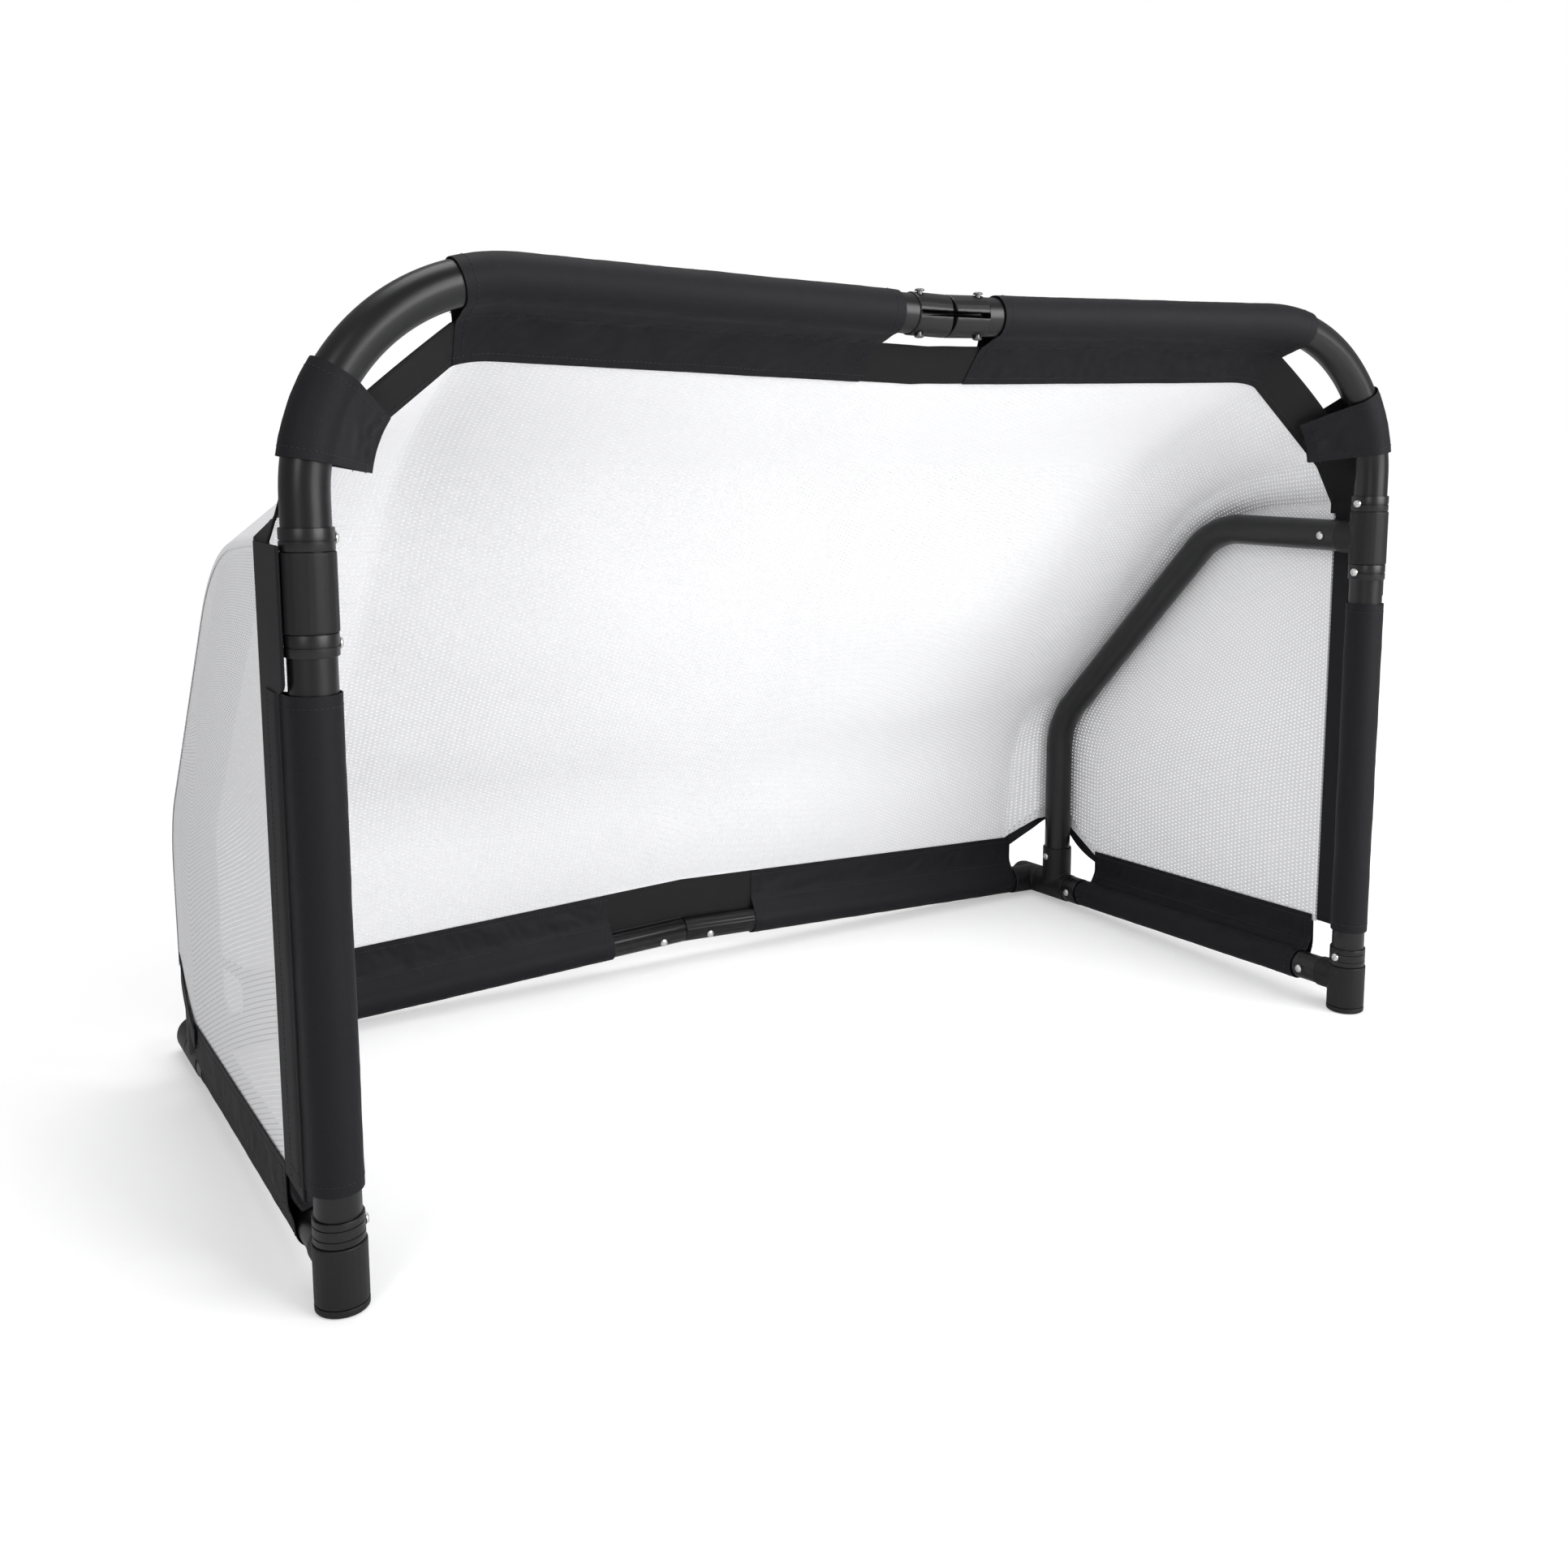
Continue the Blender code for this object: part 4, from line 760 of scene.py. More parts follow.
for side, label in sides:
    makeSideScrews(side, label)
makeLink("crossbar", crossbarLinkMatrix(), (0, 0, 1), pins["crossbarFace"], "darkZinc")
makeLink("rear", rearLinkMatrix(), (0, 1, 0), goal["floorTube"], "zinc")
bpy.data.objects.remove(screwMaster, do_unlink=True)
print("screws and pins made")


# Cloth. Every piece is a grid of points, whose rows follow the tube and whose columns go round it


def clothMesh(name, grid, finish, thickness):  # with its wall, its rims and a UV map in metres
    rows, columns = grid.shape[:2]
    faces = []
    for low in range(0, (rows - 1) * columns, columns):
        high = low + columns
        faces += [(low + j, low + j + 1, high + j + 1, high + j) for j in range(columns - 1)]
    obj = addMesh(name, grid.reshape(-1, 3), faces, finish, 0, outward=False)
    steps = np.linalg.norm(np.diff(grid[:, 0], axis=0), axis=1)
    along = np.concatenate([[0], np.cumsum(steps)])
    steps = np.linalg.norm(np.diff(grid[rows // 2], axis=0), axis=1)
    around = np.concatenate([[0], np.cumsum(steps)])
    layer = obj.data.uv_layers.new(name="UVMap")
    corners = np.empty(len(obj.data.loops), dtype=int)
    obj.data.loops.foreach_get("vertex_index", corners)
    uv = np.stack([along[corners // columns], around[corners % columns]], axis=1)
    layer.data.foreach_set("uv", uv.reshape(-1))
    wall = obj.modifiers.new("Wall", "SOLIDIFY")
    wall.thickness = thickness
    wall.offset = 0.0
    seal(obj)
    faceOutwards(obj.data)
    obj.data.shade_smooth()
    obj.data.set_sharp_from_angle(angle=math.radians(50))
    return obj


def crumple(along, across, seed, scale):  # soft folds with a few creases, from -1 to 1
    soft = noise.noise(Vector((along * scale, across * scale * 1.6, seed * 7.31)))
    x = along * scale * 2.3 + across * scale * 2.6
    y = (across - along) * scale * 0.9
    crease = 1 - 2.6 * abs(noise.noise(Vector((x, y, seed * 3.7 + 11))))
    return 0.75 * soft + 0.35 * max(crease, 0.0)


# A cross-section of cloth round a tube whose two layers run out to a flap. Points are (along the
# flap, square to it, share of flap). Lean moves the flap off the tube's middle, half is half the
# room between its layers, and leave are the tube's angles at which the layers leave it
def wrapSection(radius, reach, lean, half, leave, steps=64):
    first, last = (math.radians(a) for a in leave)
    ends = [(radius * math.cos(a), radius * math.sin(a)) for a in (first, last)]
    shares = [k / (steps // 4) for k in range(steps // 4)]
    points = [flapPoint((reach, lean + half), ends[0], share) for share in shares]
    for k in range(steps // 2 + 1):
        angle = first + (last - first) * k / (steps // 2)
        points.append((radius * math.cos(angle), radius * math.sin(angle), 0.0))
    points += [flapPoint((reach, lean - half), ends[1], share) for share in reversed(shares)]
    data = np.array(points)
    for _ in range(2):
        inner = 0.5 * data[1:-1] + 0.25 * (data[:-2] + data[2:])
        data[1:-1] = inner
    return data


def flapPoint(outer, root, share):  # from a layer's free edge at share 0 to the tube at 1
    a = outer[0] + (root[0] - outer[0]) * share
    settle = max(0.0, (share - 0.62) / 0.38)
    settle = settle * settle * (3 - 2 * settle)
    b = outer[1] + (root[1] - outer[1]) * settle
    return a, b, 1 - settle


def tautSection(radius, reach, half, steps=64):  # layers that run straight to the flap's edge
    leave = math.acos(radius / reach)
    points = []
    for k in range(steps // 4):
        share = k / (steps // 4)
        a = reach + (radius * math.cos(leave) - reach) * share
        b = half + (radius * math.sin(leave) - half) * share
        points.append((a, b, 1 - share))
    for k in range(steps // 2 + 1):
        angle = leave + (2 * math.pi - 2 * leave) * k / (steps // 2)
        points.append((radius * math.cos(angle), radius * math.sin(angle), 0.0))
    mirror = [(a, -b, c) for a, b, c in reversed(points[: steps // 4])]
    return np.array(points + mirror)


# Sweeps a cross-section along stations of (point, flap direction, square direction) and crumples
# it. The part on the tube only moves outwards, and the ends and the hem stay calm
def wrapGrid(stations, section, folds):
    grid = np.zeros((len(stations), len(section), 3))
    steps = [(b[0] - a[0]).length for a, b in zip(stations, stations[1:])]
    total, travel = sum(steps), 0.0
    reach = max(point[0] for point in section)
    for i, (point, along, square) in enumerate(stations):
        if i:
            travel += steps[i - 1]
        calm = min(1.0, min(travel, total - travel) / 0.022)
        for j, (a, b, flap) in enumerate(section):
            angle = math.atan2(b, a)
            fold = crumple(travel, a + b * 0.3, folds["seed"], folds["scale"])
            hem = min(1.0, max(0.0, (reach - a) / 0.014))
            sway = folds["flap"] * fold * flap * calm * (0.12 + 0.88 * hem)
            puff = folds["tube"] * (0.5 + 0.5 * fold) * (1 - flap)
            ahead = a + puff * math.cos(angle)
            aside = b + sway + puff * math.sin(angle)
            grid[i, j] = point + along * ahead + square * aside
    return grid


# A folded strip from points along its edges: its fold is at the front one, and its two layers end
# at the rear one
def pocketGrid(front, rear, square, half, columns=14):
    front, rear, square = np.array(front), np.array(rear), np.array(square)
    way = (rear - front) / np.linalg.norm(rear - front, axis=1, keepdims=True)
    grid = [rear + (front - rear) * k / columns + square * half for k in range(columns)]
    for k in range(5):
        angle = math.pi * k / 4
        grid.append(front - way * half * math.sin(angle) + square * half * math.cos(angle))
    for k in range(columns - 1, -1, -1):
        grid.append(rear + (front - rear) * k / columns - square * half)
    return np.array(grid).transpose(1, 0, 2)


stitches = {"lines": {}, "pitch": 0.0042, "thread": 0.00032, "lift": 0.00055}


# Stitches along rows and columns of a grid, on its face away from a centre. They are grouped under
# key, a body or a band's name
def stitchGrid(key, grid, centre, rows=(), columns=()):
    normals = np.cross(np.gradient(grid, axis=0), np.gradient(grid, axis=1))
    normals /= np.maximum(np.linalg.norm(normals, axis=2, keepdims=True), 1e-12)
    middle = grid.shape[1] // 2
    away = float(np.dot(normals[0, middle], grid[0, middle] - np.array(centre)))
    raised = grid + normals * stitches["lift"] * (1 if away > 0 else -1)
    lines = [raised[i] for i in rows] + [raised[:, j] for j in columns]
    stitches["lines"].setdefault(key, []).extend([tuple(p) for p in line] for line in lines)


def sewWrap(name, body, grid, wall, node, tube, centre, edge=2, double=True):
    obj = clothMesh(name, grid, "fabric", wall)
    place(obj, body, "fabric", [node])
    last = grid.shape[1] - 1
    columns = [edge, last - edge] + ([12, last - 12] if double else [])
    stitchGrid(body, grid, centre, columns=columns)
    stitchGrid(body, grid[:, edge:-edge], centre, rows=(3, -4))


# Stations every few millimetres along a path. FlapWay gives the flap's direction from the path's
# tangent
def stationsAlong(path, matrix, flapWay, spacing=0.003):
    path = [Vector(p) for p in path]
    steps = [(b - a).length for a, b in zip(path, path[1:])]
    lengths = np.concatenate([[0], np.cumsum(steps)])
    count = max(2, int(lengths[-1] / spacing))
    rotation = matrix.to_3x3()
    tangents = pathTangents(path)
    stations = []
    for k in range(count + 1):
        at = lengths[-1] * k / count
        index = min(int(np.searchsorted(lengths, at, side="right")) - 1, len(path) - 2)
        share = (at - lengths[index]) / (lengths[index + 1] - lengths[index])
        point = path[index].lerp(path[index + 1], share)
        tangent = tangents[index].lerp(tangents[index + 1], share).normalized()
        along = flapWay(tangent)
        square = tangent.cross(along).normalized()
        stations.append((matrix @ point, rotation @ along, rotation @ square))
    return stations


def rearAndIn(angle):  # a flap direction to the rear and, by an angle, into the goal's mouth
    def way(tangent):
        inward = tangent.cross(Vector((0, 1, 0))).normalized()
        if inward.z > 0.02 or (abs(inward.z) <= 0.02 and inward.x * tangent.x < 0):
            inward = -inward
        return (Vector((0, 1, 0)) * math.cos(angle) + inward * math.sin(angle)).normalized()

    return way


def straightUp(tangent):
    return Vector((0, 0, 1))


# What the sleeves share, and the crossbar's and rear bar's own sizes. Folds are how far the cloth
# stands out of true on the flap and on the tube
cloth = {
    "radius": 0.0192,
    "floorRadius": 0.0172,
    "wall": 0.0008,
    "half": 0.0018,
    "flapFold": 0.0024,
    "tubeFold": 0.0010,
    "foldScale": 26,
    "leave": (38, 322),
    "crossbarReach": 0.079,
    "crossbarAngle": math.radians(48),
    "crossbarFold": 1.35,
    "sleeveStart": 6.5,
    "sleeveEnd": 0.525412,
    "rearReach": 0.065,
    "rearFold": 1.25,
    "rearSpan": (0.048, 0.482112),
    "bandHalf": 0.0009,
    "bandWall": 0.0006,
}


def bendPoint(side, eighths):  # on the arch's bend, in eighths of its turn from the post end
    turn = math.pi / 2 + goal["sag"]
    base = goal["crossbarHeight"] - goal["bendRadius"] * math.tan(turn / 2)
    angle = turn * eighths / 8
    inward = goal["bendRadius"] * (1 - math.cos(angle))
    return Vector((-side * inward, 0, base + goal["bendRadius"] * math.sin(angle)))


def sleevePath(side):
    start = cloth["sleeveStart"]
    path = [bendPoint(side, start + (8 - start) * k / 6) for k in range(7)]
    return [*path, barPoint(side, cloth["sleeveEnd"])]


def folds(seed, scale=cloth["foldScale"], flap=1.0, tube=1.0):
    depth, swell = cloth["flapFold"] * flap, cloth["tubeFold"] * tube
    return {"seed": seed, "scale": scale, "flap": depth, "tube": swell}


def makeCrossbarSleeve(side, label):
    way = rearAndIn(cloth["crossbarAngle"])
    stations = stationsAlong(sleevePath(side), archMatrix(side), way)
    reach = cloth["crossbarReach"]
    section = wrapSection(cloth["radius"], reach, 0, cloth["half"], cloth["leave"])
    grid = wrapGrid(stations, section, folds(3 + side, flap=cloth["crossbarFold"]))
    node, tube = label + "_crossbar_sleeve", label + "_arch_tube_smooth"
    sewWrap(node + "_cloth", label + "_arch", grid, cloth["wall"], node, tube, stations[0][0])


# The patch on the arch's bend, from start to end in eighths of the bend
patch = {
    "start": 0.8,
    "end": 2.9,
    "spacing": 0.0022,
    "radius": 0.0200,
    "reach": 0.070,
    "angle": math.radians(57),
    "half": 0.0022,
    "wall": 0.0009,
    "foldScale": 46,
    "flapFold": 1.6,
}


def makeCornerPatch(side, label):
    start, end = patch["start"], patch["end"]
    path = [bendPoint(side, start + (end - start) * k / 12) for k in range(13)]
    way = rearAndIn(patch["angle"])
    stations = stationsAlong(path, archMatrix(side), way, patch["spacing"])
    section = tautSection(patch["radius"], patch["reach"], patch["half"])
    grid = wrapGrid(stations, section, folds(11 + side, patch["foldScale"], patch["flapFold"]))
    node, tube = label + "_corner_patch", label + "_arch_tube_smooth"
    centre = stations[0][0]
    body = label + "_arch"
    sewWrap(node + "_cloth", body, grid, patch["wall"], node, tube, centre, 3, False)


# The post's sleeve, and the band that carries the side net. The band is wider above the sleeve
post = {
    "bottom": 0.097,
    "top": 0.479,
    "radius": 0.0194,
    "reach": 0.044,
    "lean": 0.0222,
    "half": 0.0022,
    "leave": (86, 408),
    "wall": 0.0009,
    "foldScale": 17,
    "flapFold": 0.2,
    "tubeFold": 1.3,
    "bandBottom": 0.087,
    "bandTop": 0.587,
    "bandFront": 0.0088,
    "bandRear": 0.066,
    "bandTip": -0.005,
    "bandWide": 0.004,
    "bandSpacing": 0.004,
}


def verticalStations(side, low, high, spacing):
    count = int((high - low) / spacing)
    matrix = sideMatrix(side)
    heights = [low + (high - low) * k / count for k in range(count + 1)]
    back, square = Vector((0, 1, 0)), Vector((side, 0, 0))
    return [(matrix @ Vector((0, 0, height)), back, square) for height in heights]


def makePostSleeve(side, label):
    stations = verticalStations(side, post["bottom"], post["top"], 0.003)
    centre = stations[0][0]
    section = wrapSection(post["radius"], post["reach"], post["lean"], post["half"], post["leave"])
    crease = folds(21 + side, post["foldScale"], post["flapFold"], post["tubeFold"])
    grid = wrapGrid(stations, section, crease)
    node, tube, body = label + "_post_sleeve", label + "_arch_tube_smooth", label + "_side_frame"
    sewWrap(node + "_cloth", body, grid, post["wall"], node, tube, centre, double=False)
    step, spacing = post["top"] - post["bandWide"], post["bandSpacing"]
    stations = verticalStations(side, post["bandBottom"], step, spacing)
    stations += verticalStations(side, step, post["bandTop"], spacing)[1:]
    middle = [point + square * post["lean"] for point, back, square in stations]
    square = [square for point, back, square in stations]
    back, front = stations[0][1], []
    for m in middle:
        widen = min(1.0, max(0.0, (m.z - post["top"] - 0.002) / 0.003))
        tip = post["bandFront"] + (post["bandTip"] - post["bandFront"]) * widen
        front.append(m + back * tip)
    rear = [m + back * post["bandRear"] for m in middle]
    grid = pocketGrid(front, rear, square, cloth["bandHalf"])
    band = clothMesh(label + "_post_band_cloth", grid, "fabric", cloth["bandWall"])
    place(band, body, "fabric")
    stitchGrid(body, grid, stations[0][0], columns=(1, grid.shape[1] - 2))


sideSleeve = {
    "span": (0.068, 0.4524),
    "reach": 0.058,
    "half": 0.0017,
    "leave": (80, 402),
    "foldScale": 28,
    "flapFold": 0.8,
    "tubeFold": 0.9,
}


def makeSideSleeve(side, label):
    matrix = lineMatrix(side)
    path = [(0, along, 0) for along in sideSleeve["span"]]
    outward = matrix.to_3x3() @ Vector((side, 0, 0))
    stations = stationsAlong(path, matrix, straightUp)
    stations = [(point, along, outward) for point, along, square in stations]
    reach, half, leave = sideSleeve["reach"], sideSleeve["half"], sideSleeve["leave"]
    section = wrapSection(cloth["floorRadius"], reach, goal["netOffset"], half, leave)
    scale, flap, tube = (sideSleeve[key] for key in ("foldScale", "flapFold", "tubeFold"))
    grid = wrapGrid(stations, section, folds(31 + side, scale, flap, tube))
    node, tube, body = label + "_side_sleeve", label + "_side_bar_smooth", label + "_side_frame"
    sewWrap(node + "_cloth", body, grid, cloth["wall"], node, tube, stations[0][0])


def makeRearSleeve(side, label):
    path = [(-side * inward, 0, 0) for inward in cloth["rearSpan"]]
    stations = stationsAlong(path, rearMatrix(side), straightUp)
    reach = cloth["rearReach"]
    section = wrapSection(cloth["floorRadius"], reach, 0, cloth["half"], cloth["leave"])
    grid = wrapGrid(stations, section, folds(41 + side, flap=cloth["rearFold"]))
    node, tube, body = label + "_rear_sleeve", label + "_rear_bar_smooth", label + "_rear_half"
    sewWrap(node + "_cloth", body, grid, cloth["wall"], node, tube, stations[0][0])


for side, label in sides:
    makeCrossbarSleeve(side, label)
    makeCornerPatch(side, label)
    makePostSleeve(side, label)
    makeSideSleeve(side, label)
    makeRearSleeve(side, label)
print("sleeves made")


# The bands between the sleeves. Keep is a share along X, stored with each band
middle = {
    "topHalf": 0.0645,
    "topStart": 0.036,
    "topAnchor": 0.75,
    "topKeep": 0.3,
    "rearHalf": 0.1075,
    "rearStart": 0.0172,
    "rearAnchor": (0, 0.27, 0.1),
    "rearKeep": 0.2,
    "ripple": 0.0007,
    "steps": 36,
}
squashes, blends = {}, {}


# A folded strip over a hinge, whose ends follow the two bars' bow and slope. Its span runs from
# its fold to its edge
def middleStrip(matrix, half, rise, drop, way, span):
    front, rear, square = [], [], []
    rotation = matrix.to_3x3()
    ahead = (rotation @ Vector(way)).normalized()
    flat = ahead.cross(rotation @ Vector((1, 0, 0))).normalized()
    start, end = span
    for k in range(middle["steps"] + 1):
        x = -half + 2 * half * k / middle["steps"]
        centre = matrix @ Vector((x, -abs(x) * drop, abs(x) * rise))
        wave = noise.noise(Vector((x * 40, start * 90, 2.5)))
        ripple = middle["ripple"] * wave * (1 - (x / half) ** 2)
        front.append(centre + ahead * start + flat * ripple)
        rear.append(centre + ahead * end + flat * ripple)
        square.append(flat)
    return pocketGrid(front, rear, square, cloth["bandHalf"])


def sewMiddleBand(name, body, grid, centre, squash):
    band = clothMesh(name + "_cloth", grid, "band", cloth["bandWall"])
    place(band, body, "band", [name])
    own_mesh(band)
    stitchGrid(name, grid, centre, columns=(2, -3))
    squashes[name] = (body, squash)


def makeMiddleBands():
    bow, sag, angle = math.sin(goal["bow"]), math.tan(goal["sag"]), cloth["crossbarAngle"]
    drop = goal["barHalf"] * bow
    height = goal["crossbarHeight"] - goal["barHalf"] * sag
    matrix = Matrix.Translation((0, goal["postY"] + drop, height))
    way = (0, math.cos(angle), -math.sin(angle))
    span = (middle["topStart"], cloth["crossbarReach"])
    grid = middleStrip(matrix, middle["topHalf"], sag, bow, way, span)
    anchor = (0, goal["postY"], middle["topAnchor"])
    squash = ("crossbar_left_pivot", (1, 0, 0), anchor, middle["topKeep"])
    sewMiddleBand("top_band", "crossbar_link", grid, matrix.translation, squash)
    line = lineMatrix(-1)
    line.translation.x = 0
    matrix = line @ Matrix.Translation((0, goal["rearReach"], drop))
    span = (middle["rearStart"], cloth["rearReach"])
    grid = middleStrip(matrix, middle["rearHalf"], -bow, 0.0, (0, 0, 1), span)
    squash = ("rear_left_pivot", (1, 0, 0), middle["rearAnchor"], middle["rearKeep"])
    sewMiddleBand("rear_band", "rear_link", grid, matrix.translation, squash)


makeMiddleBands()
print("middle bands made")


# The net. Wide and high are half a diamond, hole is the share of it that is open. Start is the
# net's corner behind the middle tee, inner the line inside the strut's plane, and hem the distance
# from the crossbar to the net's edge. Bulge and decay say how the strut's push fades inwards
net = {
    "wide": 0.0050,
    "high": 0.0025,
    "hole": 0.24,
    "relief": -0.0003,
    "length": 0.82,
    "startRear": 0.070,
    "startHeight": 0.589,
    "inner": 0.0225,
    "innerRear": 0.058,
    "innerHeight": 0.632,
    "corner": 0.065,
    "cornerHeight": 0.1185,
    "clear": 0.0205,
    "bends": (0.250, 0.100),
    "bulge": 0.25,
    "decay": 1.8,
    "hem": 0.0797,
    "flapStart": 0.052,
    "flapGap": 0.0013,
    "tuckRows": 3,
    "lap": 2,
    "lapStep": 0.0028,
    "lapOut": 0.0008,
    "ripple": 0.0016,
    "sideColumns": 76,
    "sideRows": 214,
    "sideTop": 0.30,
    "sideHem": 0.050,
    "sideGap": 0.0006,
    "bandGap": 0.0003,
}


# The net's line over a strut, from the mouth's corner to the rear corner, in its side frame, as a
# function from share to (rear, height)
def strutProfile(inset):
    offset = net["clear"] - inset
    tee, reach = goal["middleTee"], goal["strutReach"]
    slant = Vector((reach - tubes["strutTurn"], tubes["strutLow"] - tee)).normalized()
    out = Vector((-slant.y, slant.x))
    on = Vector((tubes["strutTurn"], tee)) + out * offset
    upper = on + slant * ((tee + offset - on.y) / slant.y)
    lower = on + slant * ((reach + offset - on.x) / slant.x)
    corners = [
        (0, net["startRear"], net["startHeight"] - inset),
        (0, upper.x, upper.y),
        (0, lower.x, lower.y),
        (0, reach + offset, net["cornerHeight"]),
    ]
    wide, tight = net["bends"]
    path = np.array(roundedPath(corners, [wide, tight + offset], 24))
    steps = np.linalg.norm(np.diff(path, axis=0), axis=1)
    lengths = np.concatenate([[0], np.cumsum(steps)])

    def at(share):
        spot = np.clip(share, 0, 1) * lengths[-1]
        return np.array([np.interp(spot, lengths, path[:, k]) for k in (1, 2)])

    return at


# The back net's top edge on the left side, as rows of inward, rear, height and the direction to
# the tube
def mouthStops():
    angle = cloth["crossbarAngle"]
    first = (-goal["netOffset"], net["startRear"], net["startHeight"], 0, -1, 0)
    second = (net["inner"], net["innerRear"], net["innerHeight"], -0.62, -0.766, 0.17)
    stops = [first, second]
    yaw = Matrix.Rotation(goal["bow"], 3, "Z")
    path = sleevePath(-1)
    way = rearAndIn(angle)
    for point, tangent in zip(path, pathTangents(path)):
        along = way(tangent)
        edge = yaw @ (point + along * net["hem"])
        back = yaw @ -along
        stops.append((*edge, *back))
    toTube = yaw @ -way(Vector((math.cos(goal["sag"]), 0, -math.sin(goal["sag"]))))
    rear = net["hem"] * math.cos(angle) + goal["barHalf"] * math.sin(goal["bow"])
    height = goal["crossbarHeight"] - goal["barHalf"] * math.tan(goal["sag"])
    height -= net["hem"] * math.sin(angle)
    stops.append((goal["halfWidth"], rear, height, *toTube))
    share = (net["corner"] - stops[1][0]) / (stops[2][0] - stops[1][0])
    spot = [a + (b - a) * share for a, b in zip(stops[1][:3], stops[2][:3])]
    stops.insert(2, (*spot, -0.58, -0.707, 0.40))
    return np.array(stops)


def floorStops():  # the back net's bottom edge, as mouthStops has it
    axis = linePoint(goal["rearReach"])
    flap = cloth["rearReach"] + net["flapGap"]
    top = Vector((axis.y + flap * math.sin(goal["slope"]), axis.z + flap))
    rear = goal["strutReach"] + net["clear"]
    bow, start = math.sin(goal["bow"]), net["flapStart"]
    stops = [
        (-goal["netOffset"], rear, net["cornerHeight"]),
        (net["inner"], rear, net["cornerHeight"]),
        (start, top.x, top.y + start * bow),
        (goal["halfWidth"], top.x, top.y + goal["barHalf"] * bow),
    ]
    return np.array(stops)


def onStops(stops, inward):
    return np.array([np.interp(inward, stops[:, 0], stops[:, k]) for k in range(1, stops.shape[1])])


def mouthEdge(stops, inward):  # a point of the top edge, and the direction from it to the tube
    values = onStops(stops, inward)
    way = values[2:5] / np.linalg.norm(values[2:5])
    return np.array([inward, values[0], values[1]]), way


# A diamond mesh on a grid of points, opened into strands by the knit group. At the seam column
# there are whole diamonds only, so that the other half's diamonds fill its teeth
def netMesh(name, points, seamColumn=-1):
    rows, columns = points.shape[:2]
    index = -np.ones((rows, columns), dtype=int)
    verts = []
    for i in range(rows):
        for j in range(i % 2, columns, 2):
            index[i, j] = len(verts)
            verts.append(points[i, j])
    faces = []
    for i in range(rows):
        for j in range((i + 1) % 2, columns, 2):
            near = [(i - 1, j), (i, j + 1), (i + 1, j), (i, j - 1)]
            corners = [int(index[a, b]) for a, b in near if 0 <= a < rows and 0 <= b < columns]
            if len(corners) == 4 or (len(corners) == 3 and j != seamColumn):
                faces.append(corners)
    mesh = bpy.data.meshes.new(name)
    mesh.from_pydata([tuple(v) for v in verts], [], faces)
    values = {"Hole": net["hole"], "Relief": net["relief"]}
    obj = runGroup(name, mesh, knitGroup, "net", values)
    obj.data.shade_smooth()
    return obj


def sewNet(obj, label, node):
    place(obj, label + "_side_frame", "net", [node])


# A point of the left back net in its side frame, with inward for X: the straight line from edge to
# edge, pushed out by the strut and less so towards the middle
def backNetPoint(profile, mouth, floor, inward, share):
    first, last = onStops(mouth, inward)[:2], onStops(floor, inward)
    chord = first + (last - first) * share
    sideFirst, sideLast = mouth[0, 1:3], floor[0, 1:]
    bulge = profile(share) - (sideFirst + (sideLast - sideFirst) * share)
    clear = max(0.0, (inward - net["inner"]) / (goal["halfWidth"] - net["inner"]))
    fall = math.cosh(net["decay"] * (1 - clear)) - 1
    fade = net["bulge"] + (1 - net["bulge"]) * fall / (math.cosh(net["decay"]) - 1)
    return np.array([inward, *(chord + bulge * fade)])


def makeBackNet(side, label):
    profile, mouth, floor = strutProfile(0.0), mouthStops(), floorStops()
    wide = goal["halfWidth"] + goal["netOffset"]
    columns = int(round(wide / net["wide"]))
    rows = int(round(net["length"] / net["high"]))
    tuck, lap = net["tuckRows"], net["lap"]
    seam = columns + (1 if side < 0 else 0)
    down = np.array([0, math.sin(goal["slope"]), 1])
    points = np.zeros((rows + 1 + 2 * tuck, seam + 1 + lap, 3))
    for j in range(seam + 1):
        across = -goal["netOffset"] + wide * j / columns
        inward = min(across, 2 * goal["halfWidth"] - across)
        edge, way = mouthEdge(mouth, inward)
        hem = backNetPoint(profile, mouth, floor, inward, 1.0)
        tucked = min(1.0, max(0.0, (inward - net["flapStart"]) / 0.012))
        for i in range(-tuck, rows + tuck + 1):
            if i < 0:
                point = edge + way * net["high"] * -i
            elif i > rows:
                point = hem - down * net["high"] * (i - rows) * tucked
            else:
                share = i / rows
                point = backNetPoint(profile, mouth, floor, inward, share)
                wave = noise.noise(Vector((inward * 9, share * 7, 4.0)))
                hold = min(1.0, 8 * share, 8 * (1 - share), max(0.0, (inward - 0.02) * 8))
                point = point + np.array([0, 1, 0.6]) * net["ripple"] * wave * hold
            x = -side * (point[0] + across - inward)
            points[i + tuck, j + lap] = (x, point[1], point[2])
    for i in range(points.shape[0]):
        share = min(1.0, max(0.0, (i - tuck) / rows))
        run = profile(min(1.0, share + 0.01)) - profile(max(0.0, share - 0.01))
        run /= np.linalg.norm(run)
        for k in range(lap):
            inside = np.array([run[1], -run[0]]) * net["lapStep"] * (lap - k)
            points[i, k] = points[i, lap] + np.array([side * net["lapOut"], *inside])
    matrix = np.array(sideMatrix(side))
    points = points @ matrix[:3, :3].T + matrix[:3, 3]
    node = label + "_back_net"
    obj = netMesh(node + "_knit", points, seam + lap)
    sewNet(obj, label, node)
    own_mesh(obj)


